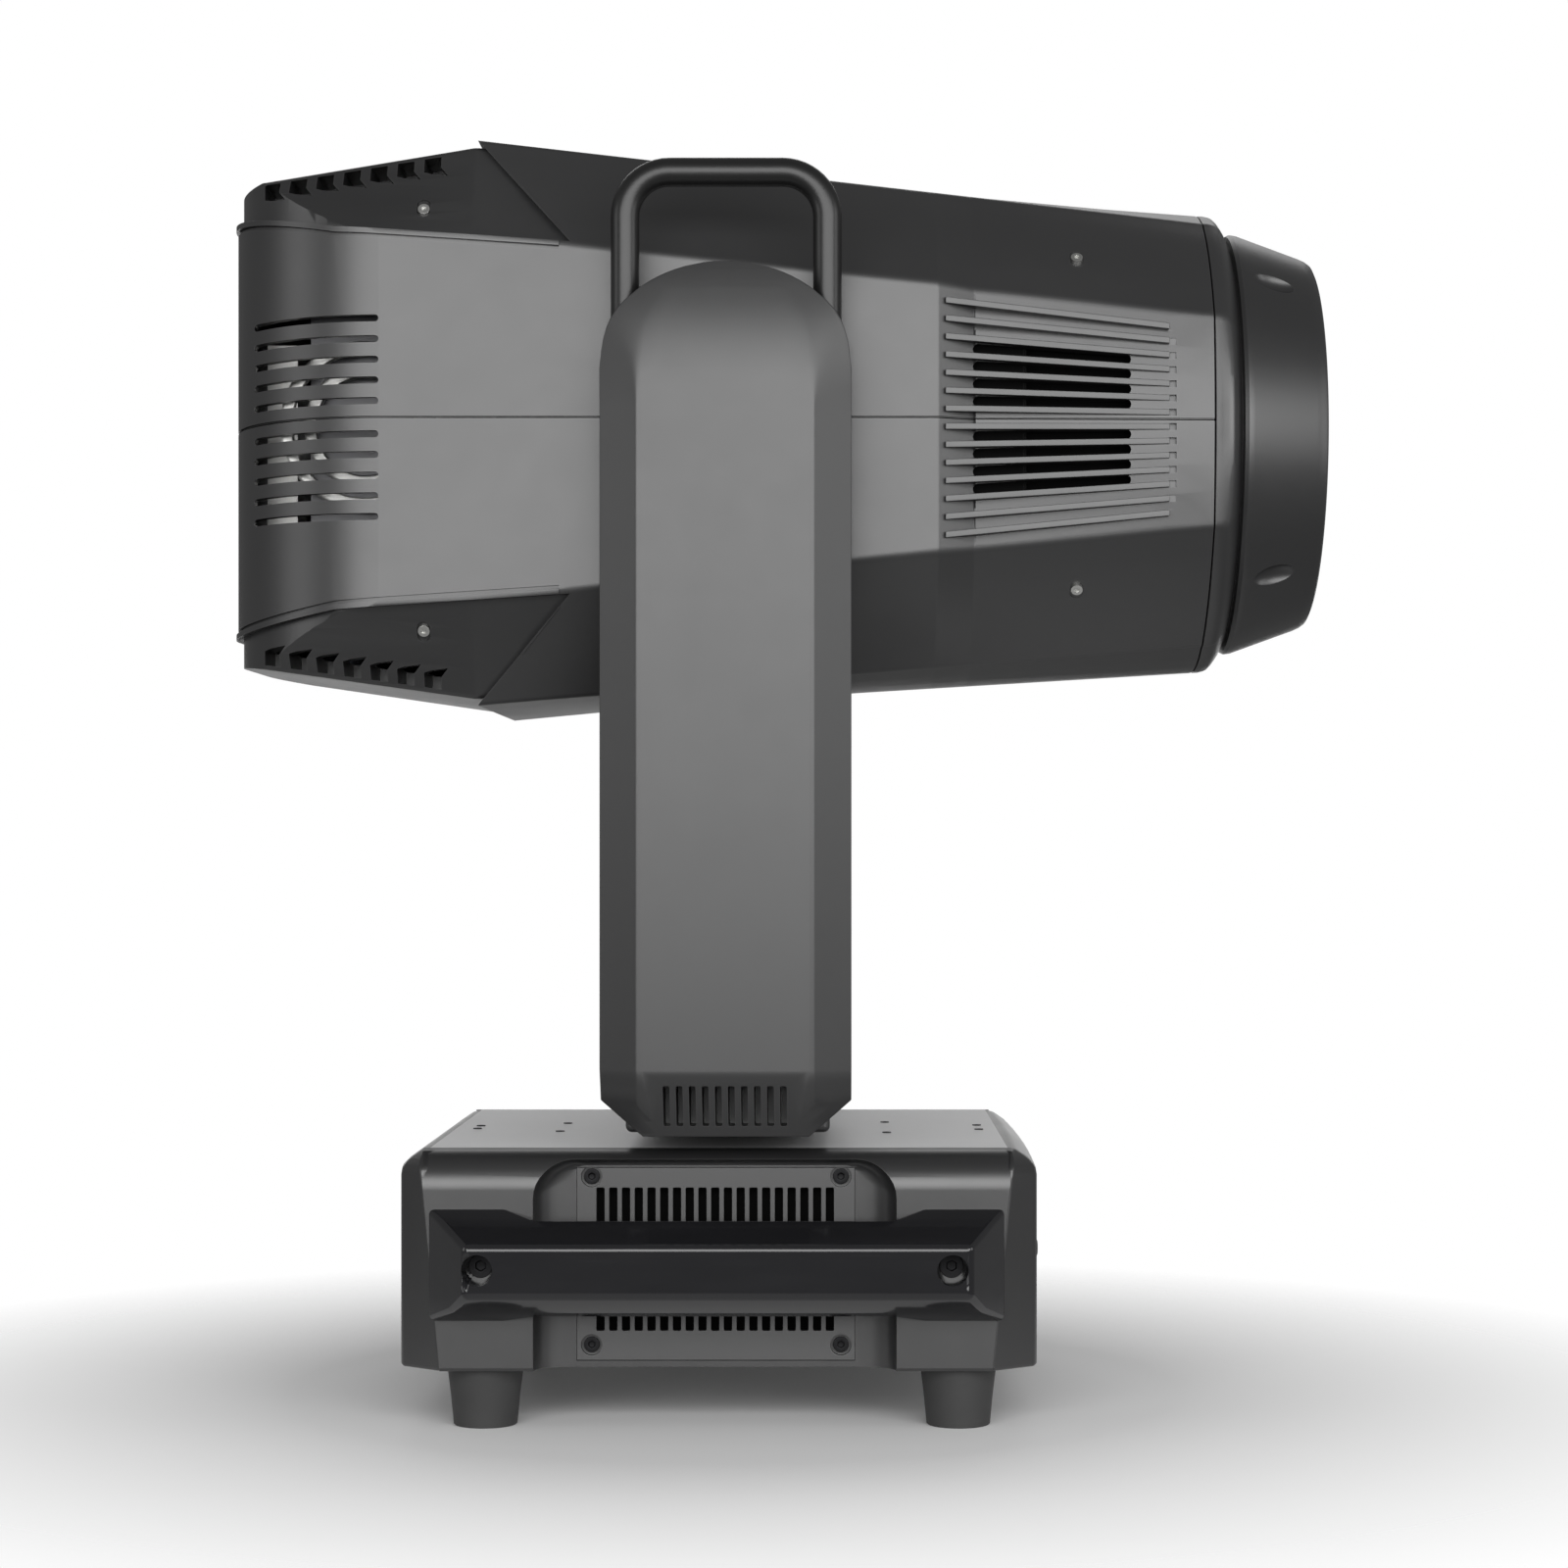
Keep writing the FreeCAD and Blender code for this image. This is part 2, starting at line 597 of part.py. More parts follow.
def arm_handle():
    """Left arm handle: a round bar bent into a loop over the arm."""
    half, rise, bend = size("bail_half_width"), size("bail_rise"), size("bail_bend")
    y, base = -size("bail_y"), size("tilt_height")
    top, foot = base + rise, base + 22
    diagonal = bend * (1 - math.sqrt(0.5))
    left, right = Vector(-half, y, foot), Vector(half, y, foot)
    edges = [
        Part.LineSegment(left, Vector(-half, y, top - bend)).toShape(),
        Part.Arc(Vector(-half, y, top - bend), Vector(-half + diagonal, y, top - diagonal),
                 Vector(-half + bend, y, top)).toShape(),
        Part.LineSegment(Vector(-half + bend, y, top), Vector(half - bend, y, top)).toShape(),
        Part.Arc(Vector(half - bend, y, top), Vector(half - diagonal, y, top - diagonal),
                 Vector(half, y, top - bend)).toShape(),
        Part.LineSegment(Vector(half, y, top - bend), right).toShape(),
    ]
    ring = Part.Wire(Part.makeCircle(size("bail_rod_radius"), left, Vector(0, 0, 1)))
    return solid("arm_handle_left", Part.Wire(edges).makePipeShell([ring], True, False))


def yoke_crossbar():
    """Box section that joins the arms, with a hole for the pan shaft's wires."""
    block = box("crossbar_block", ("-crossbar_half_width", "crossbar_half_width"),
                ("-arm_inner_y", "arm_inner_y"), ("arm_bottom", "crossbar_top"))
    hollow = box("crossbar_hollow", ("-crossbar_half_width + wall", "crossbar_half_width - wall"),
                 ("-arm_inner_y - 1", "arm_inner_y + 1"), ("arm_bottom + wall", "crossbar_top - wall"))
    hole = rod("crossbar_hole", "z", "22", "20", "0", "0", "arm_bottom - 10")
    return cut("yoke_crossbar", block, hollow, hole)


def tilt_drive():
    """Tilt shafts, bearings, pulley, belt, pinion and motor."""
    tube = rod("tilt_tube", "y", "tilt_shaft_radius", "85", "0", "-217", TILT)
    bore = rod("tilt_wire_way", "y", "tilt_shaft_radius - 6", "100", "0", "-230", TILT)
    left = cut("tilt_shaft_left", tube, bore)
    group("tilt_shafts", left, mirror("tilt_shaft_right", left))
    race = rod("tilt_race", "y", "32", "16", "0", "-184", TILT)
    race_bore = rod("tilt_race_bore", "y", "tilt_shaft_radius + running_gap", "60", "0", "-200", TILT)
    bearing = cut("tilt_bearing_left", race, race_bore)
    group("tilt_bearings", bearing, mirror("tilt_bearing_right", bearing))
    wheel = rod("tilt_wheel", "y", "tilt_pulley_radius", "12", "0", "-215", TILT)
    wheel_bore = rod("tilt_wheel_bore", "y", "tilt_shaft_radius", "40", "0", "-230", TILT)
    cut("tilt_pulley", wheel, wheel_bore)
    motor_z = "tilt_height - tilt_motor_drop"
    pinion = rod("tilt_pinion_wheel", "y", "tilt_pinion_radius", "12", "0", "-215", motor_z)
    pinion_bore = rod("tilt_pinion_bore", "y", "3 + running_gap", "40", "0", "-230", motor_z)
    cut("tilt_pinion", pinion, pinion_bore)
    case = box("tilt_motor_case", ("-28", "28"), ("-200", "-arm_inner_y - arm_plate"),
               (f"{motor_z} - 28", f"{motor_z} + 28"))
    spindle = rod("tilt_motor_spindle", "y", "3", "20", "0", "-214", motor_z)
    fuse("tilt_motor", case, spindle)
    ring = belt("tilt_belt", size("tilt_pulley_radius"), size("tilt_pinion_radius"), size("belt_gap"),
                size("belt_thickness"), 0, 9, size("tilt_motor_drop"))
    ring.rotate(Vector(), Vector(1, 0, 0), 90)
    ring.rotate(Vector(), Vector(0, 1, 0), 90)
    ring.translate(Vector(0, -204.5, size("tilt_height")))
    solid("tilt_belt", ring)


# ---------------------------------------------------------------- head


def octagon(x, width, height, facet_z, facet_y, drop=0):
    """Eight-sided section across the beam at x, less a drop on every side."""
    w, t, fz, fy = width - drop, height - drop, facet_z - drop * 0.4, facet_y - drop * 0.4
    corners = [(w, -fz), (w, fz), (fy, t), (-fy, t), (-w, fz), (-w, -fz), (-fy, -t), (fy, -t)]
    points = [Vector(x, y, z) for y, z in corners]
    return Part.makePolygon(points + points[:1])


def round_section(x, radius):
    """The round section at the front, in eight arcs that meet the octagon's corners."""
    low, high = math.radians(size("head_front_low_angle")), math.radians(size("head_front_high_angle"))
    angles = [-low, low, high, math.pi - high, math.pi - low, math.pi + low, math.pi + high, -high, -low]
    spots = [Vector(x, radius * math.cos(a), radius * math.sin(a)) for a in angles]
    turns = [(-low, low), (low, high), (high, math.pi - high), (math.pi - high, math.pi - low),
             (math.pi - low, math.pi + low), (math.pi + low, math.pi + high),
             (math.pi + high, 2 * math.pi - high), (2 * math.pi - high, 2 * math.pi - low)]
    edges = []
    for start, end, (a, b) in zip(spots, spots[1:], turns):
        half_way = (a + b) / 2
        middle = Vector(x, radius * math.cos(half_way), radius * math.sin(half_way))
        edges.append(Part.Arc(start, middle, end).toShape())
    return Part.Wire(edges)


def front_form(drop):
    """The head's form from its shoulder to its round front end."""
    start = octagon(size("head_shoulder_x"), size("head_half_width"), size("head_half_height"),
                    size("head_facet_z"), size("head_facet_y"), drop)
    end = round_section(size("head_front_x"), size("head_front_radius") - drop)
    return Part.makeLoft([start, end], True, True)


def rear_form(drop, sunk):
    """The head's form behind the shoulder: an octagon tapering to the rear, with rounded plan corners."""
    shoulder, rear = size("head_shoulder_x"), size("head_rear_x") + drop
    width, bend = size("head_half_width") - drop, size("head_corner_radius") - drop
    loft = Part.makeLoft([
        octagon(rear, size("head_half_width"), 157, 126, 112, drop + sunk),
        octagon(shoulder, size("head_half_width"), size("head_half_height"), size("head_facet_z"),
                size("head_facet_y"), drop + sunk)], True, True)
    block = Part.makeBox(shoulder - rear, 2 * width, 400, Vector(rear, -width, -200))
    upright = [e for e in block.Edges if max(abs(v.X - rear) for v in e.Vertexes) < 0.1
               and abs(e.Vertexes[0].Y - e.Vertexes[1].Y) < 0.1]
    return loft.common(block.makeFillet(bend, upright))


def side_zone():
    """The wedge-shaped space of the side panels, between the two rear vent covers."""
    rear, shoulder = size("head_rear_x") - 5, size("head_shoulder_x")
    upper = [(rear, 139), (-252, 122), (-100, 111), (shoulder + 7, size("head_half_height") + 5), (400, 300)]
    points = [Vector(x, -300, z) for x, z in upper] + [Vector(x, -300, -z) for x, z in reversed(upper)]
    return Part.Face(Part.makePolygon(points + points[:1])).extrude(Vector(0, 600, 0))


def fin_gaps():
    """The gaps between the cooling fins on both sides."""
    gaps = []
    pitch, thick = size("fin_pitch"), size("fin_thickness")
    for index in range(int(size("fin_count")) - 1):
        middle = (index - (size("fin_count") - 2) / 2) * pitch
        if index == int(size("fin_count")) // 2 - 1:
            continue
        gap = Part.makeBox(138, 400, pitch - thick, Vector(146, -200, middle - (pitch - thick) / 2))
        gaps.append(gap)
    return Part.makeCompound(gaps)


def rear_slots():
    """The ten cooling slots in each rear corner."""
    slots = []
    for side in (-1, 1):
        for index in range(5):
            z = 14 + 12.8 * index
            for way in (-1, 1):
                y = -200 if side < 0 else 60
                slots.append(Part.makeBox(86, 140, 4.6, Vector(-309, y, way * z - 2.3)))
    return Part.makeCompound(slots)


def head_shells():
    """Upper and lower shells and the two rear vent covers."""
    wall = size("head_wall")
    front = front_form(0).cut(front_form(wall))
    rear = rear_form(0, 0).cut(rear_form(wall, 0).fuse(
        Part.makeBox(8, 300, 340, Vector(size("head_shoulder_x") - 4, -150, -170)).common(front_form(wall))))
    side = side_zone()
    shaft_way = Part.makeCylinder(size("tilt_shaft_radius"), 400, Vector(0, -200, 0), Vector(0, 1, 0))
    shell = front.fuse(rear.common(side)).cut(fin_gaps()).cut(rear_slots()).cut(shaft_way)
    sunk = size("vent_recess")
    cover = rear_form(0, sunk).cut(rear_form(wall, sunk)).cut(side)
    lift = Vector(0, 0, size("tilt_height"))
    upper_half = Part.makeBox(900, 400, 250, Vector(-450, -200, 0.1))
    lower_half = Part.makeBox(900, 400, 250, Vector(-450, -200, -250.1))
    for label, whole, half in (("head_upper_shell", shell, upper_half),
                               ("head_lower_shell", shell, lower_half),
                               ("rear_vent_upper", cover, upper_half),
                               ("rear_vent_lower", cover, lower_half)):
        piece = whole.common(half)
        if "vent" in label:
            piece = piece.cut(top_slots())
        largest = max(piece.Solids, key=lambda s: s.Volume)
        largest.translate(lift)
        solid(label, largest)


def top_slots():
    """Seven notches across each rear vent cover."""
    slots = []
    for index in range(7):
        slots.append(Part.makeBox(7, 180, 500, Vector(-306 + 17.8 * index, -90, -250)))
    return Part.makeCompound(slots)


def head_front():
    """Collar, lens hood and front lens."""
    collar = fuse("collar_rings",
                  cone("collar_rear", "x", "head_front_radius", "head_front_radius - 2", "collar_length - 8",
                       "head_front_x", "0", TILT),
                  cone("collar_front", "x", "head_front_radius - 2", "hood_rear_radius", "8",
                       "head_front_x + collar_length - 8", "0", TILT))
    bore = rod("collar_bore", "x", "lens_radius", "60", "head_front_x - 10", "0", TILT)
    cut("front_collar", collar, bore)
    hood = cone("hood_outside", "x", "hood_rear_radius", "hood_front_radius", "hood_length",
                "head_front_x + collar_length", "0", TILT)
    inside = cone("hood_inside", "x", "hood_rear_radius - 4", "hood_front_radius - 4", "hood_length",
                  "head_front_x + collar_length", "0", TILT)
    cut("lens_hood", hood, inside)
    disc = rod("lens_disc", "x", "lens_radius", "30", "head_front_x + 2", "0", TILT)
    dome = doc.addObject("Part::Sphere", "lens_dome")
    bind(dome, Radius="300")
    place(dome, "head_front_x + 24 - 300", "0", TILT)
    common("front_lens", disc, dome)


def head_inside():
    """Frame, light engine, wheels and lens carriages."""
    plates = [box(f"frame_side_{label}", ("-150", "180"), span, (f"{TILT} - 84", f"{TILT} + 60"))
              for label, span in (("left", ("-138", "-132")), ("right", ("132", "138")))]
    floor = box("frame_floor", ("-150", "180"), ("-138", "138"), (f"{TILT} - 84", f"{TILT} - 80"))
    wall_rear = box("frame_bulkhead", ("-98", "-94"), ("-138", "138"), (f"{TILT} - 84", f"{TILT} + 60"))
    wall_front = box("frame_front", ("176", "180"), ("-138", "138"), (f"{TILT} - 84", f"{TILT} + 60"))
    pins = [rod(f"wheel_pin_{i}", "x", "4", "26", "-122", y, f"{TILT} + 14")
            for i, y in enumerate(("-50", "50"))]
    light_way = rod("light_way", "x", "40", "320", "-120", "0", TILT)
    front_way = rod("front_way", "x", "70", "40", "150", "0", TILT)
    shaft_seats = [rod(f"shaft_seat_{i}", "y", "tilt_shaft_radius", "20", "0", y, TILT)
                   for i, y in enumerate(("-142", "122"))]
    rail_seats = [rod(f"rail_seat_{i}", "x", "rail_radius", "300", "-110", y, TILT)
                  for i, y in enumerate(("-rail_y", "rail_y"))]
    cut("head_frame", fuse("frame_sheets", *plates, floor, wall_rear, wall_front, *pins),
        light_way, front_way, *shaft_seats, *rail_seats)
    group("lens_rails", *[rod(f"rail_{i}", "x", "rail_radius", "278", "-98", y, TILT)
                          for i, y in enumerate(("-rail_y", "rail_y"))])
    for label, y, x, windows in (("colour_wheel", "50", "-120", 8), ("gobo_wheel", "-50", "-110", 7)):
        disc = rod(label + "_disc", "x", "68", "3", x, y, f"{TILT} + 14")
        bore = rod(label + "_bore", "x", "4 + running_gap", "20", "-125", y, f"{TILT} + 14")
        holes = []
        for index in range(windows):
            turn = 2 * math.pi * index / windows + math.atan2(-14, -float(y))
            holes.append(rod(f"{label}_window_{index}", "x", "13", "20", "-125",
                             f"{y} + {52 * math.cos(turn):.3f}", f"{TILT} + 14 + {52 * math.sin(turn):.3f}"))
        cut(label, disc, bore, *holes)
    for label, x in (("zoom_carriage", 10), ("focus_carriage", 120)):
        plate = box(label + "_plate", (str(x), str(x + 6)), ("-115", "115"), (f"{TILT} - 62", f"{TILT} + 62"))
        lens = rod(label + "_lens", "x", "52", "14", str(x - 4), "0", TILT)
        bores = [rod(f"{label}_bore_{i}", "x", "rail_radius + running_gap", "40", str(x - 10), y, TILT)
                 for i, y in enumerate(("-rail_y", "rail_y"))]
        cut(label, fuse(label + "_body", plate, lens), *bores)
    box("led_module", ("-190", "-150"), ("-50", "50"), (f"{TILT} - 50", f"{TILT} + 50"))
    back = box("sink_back", ("-200", "-190"), ("-100", "100"), (f"{TILT} - 90", f"{TILT} + 90"))
    fins = [box(f"sink_fin_{i}", ("-275", "-199"), (str(-100 + 11 * i), str(-98 + 11 * i)),
                (f"{TILT} - 90", f"{TILT} + 90")) for i in range(19)]
    fuse("heatsink", back, *fins)
    frame_block = box("head_fan_block", ("-310", "-290"), ("-60", "60"), (f"{TILT} - 60", f"{TILT} + 60"))
    hole = rod("head_fan_hole", "x", "56", "60", "-330", "0", TILT)
    post = rod("head_fan_post", "x", "5", "14", "-310", "0", TILT)
    spokes = [box("head_fan_spoke_y", ("-310", "-307"), ("-60", "60"), (f"{TILT} - 3", f"{TILT} + 3")),
              box("head_fan_spoke_z", ("-310", "-307"), ("-3", "3"), (f"{TILT} - 60", f"{TILT} + 60"))]
    fuse("head_fan_frame", cut("head_fan_ring", frame_block, hole), post, *spokes)
    rotor = rod("head_fan_disc", "x", "54", "10", "-305", "0", TILT)
    rotor_bore = rod("head_fan_bore", "x", "5 + running_gap", "40", "-320", "0", TILT)
    cut("head_fan_rotor", rotor, rotor_bore)


def build():
    """Every sub-part, in the order a bench would assemble them."""
    base_tray()
    base_top_plate()
    for left, twin in ((side_cover(), "side_cover_right"), (vent_panel(), "vent_panel_right"),
                       (carry_handle(), "carry_handle_right"), (arm_cover(), "arm_cover_right"),
                       (arm_frame(), "arm_frame_right"), (arm_handle(), "arm_handle_right")):
        mirror(twin, left)
    front_end_cover()
    rear_end_cover()
    group("power_sockets", *[socket(f"power_socket_{i + 1}", 14, 11, y)
                             for i, y in enumerate(SOCKET_Y["power"])])
    group("data_sockets", *[socket(f"data_socket_{i + 1}", 12, 8, y)
                            for i, y in enumerate(SOCKET_Y["data"])],
          socket("network_socket", 12, 7, SOCKET_Y["network"]))
    display_window()
    for index in range(len(BUTTON_Y)):
        menu_button(index)
    feet()
    handle_bolts()
    panel_screws()
    base_inside()
    pan_drive()
    yoke_crossbar()
    tilt_drive()
    head_shells()
    head_front()
    head_inside()


NODES = (
    "base_tray base_top_plate side_cover_left side_cover_right vent_panel_left "
    "vent_panel_right front_end_cover rear_end_cover carry_handle_left carry_handle_right "
    "handle_bolts panel_screws feet power_sockets data_sockets display_window menu_button_1 "
    "menu_button_2 menu_button_3 menu_button_4 power_supply main_board base_fan_frame "
    "base_fan_rotor pan_motor pan_pinion pan_belt pan_bearing pan_shaft pan_pulley "
    "yoke_crossbar arm_frame_left arm_frame_right arm_cover_left arm_cover_right "
    "arm_handle_left arm_handle_right tilt_motor tilt_pinion tilt_belt tilt_bearings "
    "tilt_shafts tilt_pulley head_frame head_upper_shell head_lower_shell rear_vent_upper "
    "rear_vent_lower front_collar lens_hood front_lens heatsink led_module head_fan_frame "
    "head_fan_rotor zoom_carriage focus_carriage lens_rails colour_wheel gobo_wheel"
).split()


def check_and_export():
    """Refuse a failed or invalid object, then write one file per sub-part."""
    doc.recompute()
    for item in doc.Objects:
        if "Invalid" in item.State or "Error" in item.State:
            raise RuntimeError(f"{item.Name} failed: {item.State}")
    os.makedirs("parts", exist_ok=True)
    for name in NODES:
        item = doc.getObject(name)
        shape = item.Shape
        if shape.isNull() or not shape.isValid():
            raise RuntimeError(f"{name} has no valid shape")
        item.Label = name
        print(f"{name}: {len(shape.Solids)} solids, {shape.Volume / 1000:.1f} cm3")
    for name in NODES:
        doc.getObject(name).Shape.exportStep(f"parts/{name}.step")


build()
check_and_export()
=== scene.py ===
"""Moving head light: the visible pieces, their finishes and the studio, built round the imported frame."""

import math

import bmesh
import bpy
from bpy.props import FloatProperty, FloatVectorProperty, IntProperty, PointerProperty
from bpy.types import Operator, Panel, PropertyGroup
from mathutils import Matrix, Vector


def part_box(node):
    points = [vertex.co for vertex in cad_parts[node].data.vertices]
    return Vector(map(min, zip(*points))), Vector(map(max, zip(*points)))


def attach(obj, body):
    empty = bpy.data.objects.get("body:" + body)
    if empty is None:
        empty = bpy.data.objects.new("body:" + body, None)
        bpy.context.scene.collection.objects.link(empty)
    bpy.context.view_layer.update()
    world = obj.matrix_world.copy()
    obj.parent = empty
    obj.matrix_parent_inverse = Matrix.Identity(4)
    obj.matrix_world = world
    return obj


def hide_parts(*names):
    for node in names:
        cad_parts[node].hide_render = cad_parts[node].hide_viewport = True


bl_info = {
    "name": "Moving Head Light",
    "version": (1, 0, 0),
    "blender": (4, 5, 0),
    "location": "View3D > Sidebar > Head Light",
    "description": "Builds the pieces of a moving head stage light around its packed frame",
    "category": "Object",
}

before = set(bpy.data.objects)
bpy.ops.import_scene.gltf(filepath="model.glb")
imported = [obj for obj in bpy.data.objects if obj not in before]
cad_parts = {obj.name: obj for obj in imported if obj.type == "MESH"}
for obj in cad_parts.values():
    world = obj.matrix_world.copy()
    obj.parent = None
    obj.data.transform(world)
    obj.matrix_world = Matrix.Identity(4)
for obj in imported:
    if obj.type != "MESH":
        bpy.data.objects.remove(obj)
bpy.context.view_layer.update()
MM = 0.001


def low_mm(node):
    """A node's lowest corner in millimetres."""
    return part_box(node)[0] / MM


def high_mm(node):
    """A node's highest corner in millimetres."""
    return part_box(node)[1] / MM


# Places taken from the frame, in millimetres.
TILT_Z = (low_mm("front_lens").z + high_mm("front_lens").z) / 2
REAR_X = low_mm("head_upper_shell").x
FRONT_X = high_mm("head_upper_shell").x
HOOD_X = high_mm("lens_hood").x
TOP_Z = high_mm("base_top_plate").z
FLOOR_Z = low_mm("base_tray").z
SIDE_Y = high_mm("side_cover_right").y
ARM_Y = high_mm("arm_cover_right").y
ARM_INNER_Y = low_mm("arm_cover_right").y
SHOULDER_X = -164.0


class LampSizes(PropertyGroup):
    """Sizes a user may change, in metres."""

    seam: FloatProperty(name="Seam gap", description="Gap between the two head shells",
                        default=0.0007, unit="LENGTH")
    slot_count: IntProperty(name="Vent slots", description="Slots in each row of a base vent",
                            default=19, min=3)
    fin_count: IntProperty(name="Cooling fins", description="Fins on each side of the head",
                           default=14, min=2)


class LampColours(PropertyGroup):
    """Colours of the main finishes."""

    housing: FloatVectorProperty(name="Housing", description="Satin moulded plastic", subtype="COLOR", size=3,
                                 default=(0.017, 0.017, 0.0175))
    sheet: FloatVectorProperty(name="Top sheet", description="Painted sheet metal", subtype="COLOR", size=3,
                               default=(0.62, 0.62, 0.625))
    grip: FloatVectorProperty(name="Grip", description="Gloss black plastic", subtype="COLOR", size=3,
                              default=(0.008, 0.008, 0.009))


# ---------------------------------------------------------------- shader maths


class Wire:
    """A shader socket that can be used in sums."""

    def __init__(self, shade, socket):
        self.shade = shade
        self.socket = socket

    def _with(self, operation, first, second):
        return self.shade.node("ShaderNodeMath", {"operation": operation}, [first, second])

    def __add__(self, other):
        return self._with("ADD", self, other)

    def __radd__(self, other):
        return self._with("ADD", other, self)

    def __sub__(self, other):
        return self._with("SUBTRACT", self, other)

    def __rsub__(self, other):
        return self._with("SUBTRACT", other, self)

    def __mul__(self, other):
        return self._with("MULTIPLY", self, other)

    def __rmul__(self, other):
        return self._with("MULTIPLY", other, self)

    def clamp(self):
        """The value held between 0 and 1."""
        return self.shade.node("ShaderNodeClamp", {}, [self, 0.0, 1.0])


class Shade:
    """A material under construction."""

    def __init__(self, name):
        self.material = bpy.data.materials.new(name)
        self.material.use_nodes = True
        self.tree = self.material.node_tree
        self.surface = self.tree.nodes["Principled BSDF"]

    def node(self, kind, settings, values, out=0):
        """Add a node, set its settings first, then its inputs in order or by name."""
        made = self.tree.nodes.new(kind)
        for key, value in settings.items():
            setattr(made, key, value)
        pairs = values.items() if isinstance(values, dict) else enumerate(values)
        for key, value in pairs:
            if isinstance(value, Wire):
                self.tree.links.new(value.socket, made.inputs[key])
            elif value is not None:
                made.inputs[key].default_value = value
        return Wire(self, made.outputs[out])

    def place(self):
        """Position on the piece, in metres."""
        return self.node("ShaderNodeTexCoord", {}, {}, "Object")

    def stretched(self, scale):
        """Position with each axis scaled."""
        return self.node("ShaderNodeMapping", {}, {"Vector": self.place(), "Scale": scale})

    def noise(self, scale, detail=3.0, where=None):
        """Cloudy noise from 0 to 1 with this many lumps a metre."""
        spot = where or self.place()
        return self.node("ShaderNodeTexNoise", {}, {"Vector": spot, "Scale": scale, "Detail": detail}, "Fac")

    def edges(self, width):
        """1 on sharp edges, 0 on open faces."""
        round_normal = self.node("ShaderNodeBevel", {"samples": 4}, {"Radius": width}, "Normal")
        flat_normal = self.node("ShaderNodeNewGeometry", {}, {}, "Normal")
        turn = self.node("ShaderNodeVectorMath", {"operation": "DOT_PRODUCT"},
                         [round_normal, flat_normal], "Value")
        return ((1.0 - turn) * 6.0).clamp()

    def between(self, first, second, share):
        """A colour part of the way between two."""
        made = self.tree.nodes.new("ShaderNodeMix")
        made.data_type = "RGBA"
        for socket, value in ((made.inputs[0], share), (made.inputs[6], first), (made.inputs[7], second)):
            if isinstance(value, Wire):
                self.tree.links.new(value.socket, socket)
            else:
                socket.default_value = value
        return Wire(self, made.outputs[2])

    def feed(self, name, value):
        """Give the surface an input: a number, a colour or a wire."""
        if isinstance(value, Wire):
            self.tree.links.new(value.socket, self.surface.inputs[name])
        else:
            self.surface.inputs[name].default_value = value

    def bump(self, height, distance):
        """Raise the surface by a height pattern."""
        sizes = {"Strength": 1.0, "Distance": distance, "Height": height}
        self.feed("Normal", self.node("ShaderNodeBump", {}, sizes, "Normal"))


def rgba(colour, gain=1.0):
    """A colour with a gain and full alpha."""
    return (colour[0] * gain, colour[1] * gain, colour[2] * gain, 1.0)


def moulded(name, colour, rough, grain=2600.0, depth=0.00003, level=1.0):
    """Satin moulded plastic: spark-eroded grain, faint handling marks and paler worn edges."""
    shade = Shade(name)
    cloud = shade.noise(9.0, 4.0)
    marks = shade.noise(60.0, 5.0)
    worn = shade.edges(0.0012) * marks
    body = shade.between(rgba(colour, 0.86), rgba(colour, 1.15), cloud)
    shade.feed("Base Color", shade.between(body, rgba((0.16, 0.16, 0.16)), worn * 0.22))
    shade.feed("Roughness", (rough - 0.05) + cloud * 0.07 + marks * 0.04 - worn * 0.08)
    shade.feed("Specular IOR Level", level)
    fine = shade.noise(grain, 2.0)
    shade.bump(fine + marks * 0.15, depth)
    return shade.material


def painted(name, colour, rough, peel=700.0):
    """Powder-coated metal with orange peel and a few rubbed edges."""
    shade = Shade(name)
    cloud = shade.noise(14.0, 4.0)
    worn = shade.edges(0.0008) * shade.noise(90.0, 4.0)
    body = shade.between(rgba(colour, 0.92), rgba(colour, 1.06), cloud)
    shade.feed("Base Color", shade.between(body, rgba((0.35, 0.35, 0.36)), worn * 0.3))
    shade.feed("Roughness", rough + cloud * 0.08)
    shade.feed("Coat Weight", 0.15)
    shade.feed("Coat Roughness", 0.25)
    shade.bump(shade.noise(peel, 2.0) + shade.noise(peel * 3.0, 1.0) * 0.3, 0.00005)
    return shade.material


def gloss(name, colour):
    """Gloss black plastic with fine smears and hairline scratches."""
    shade = Shade(name)
    smear = shade.noise(1.0, 6.0, shade.stretched((12.0, 30.0, 60.0)))
    scratch = shade.noise(1.0, 2.0, shade.stretched((20.0, 900.0, 900.0)))
    shade.feed("Base Color", shade.between(rgba(colour), rgba(colour, 1.8), smear))
    shade.feed("Roughness", 0.07 + smear * 0.09 + (scratch - 0.6).clamp() * 0.3)
    shade.feed("Coat Weight", 0.3)
    shade.feed("Coat Roughness", 0.08)
    shade.bump(smear + scratch * 0.2, 0.00006)
    return shade.material


def metal(name, colour, rough, along=(1.0, 1.0, 1.0), brushed=900.0):
    """Machined or brushed metal."""
    shade = Shade(name)
    lines = shade.noise(brushed, 2.0, shade.stretched(along))
    cloud = shade.noise(25.0, 3.0)
    shade.feed("Base Color", shade.between(rgba(colour, 0.85), rgba(colour, 1.08), lines))
    shade.feed("Metallic", 1.0)
    shade.feed("Roughness", rough + lines * 0.10 + cloud * 0.05)
    shade.bump(lines, 0.00002)
    return shade.material


def rubber(name, colour):
    """Matt rubber with a dusty bloom."""
    shade = Shade(name)
    bloom = shade.noise(35.0, 5.0)
    shade.feed("Base Color", shade.between(rgba(colour, 0.8), rgba(colour, 1.35), bloom))
    shade.feed("Roughness", 0.55 + bloom * 0.12)
    shade.bump(shade.noise(1500.0, 2.0), 0.00005)
    return shade.material


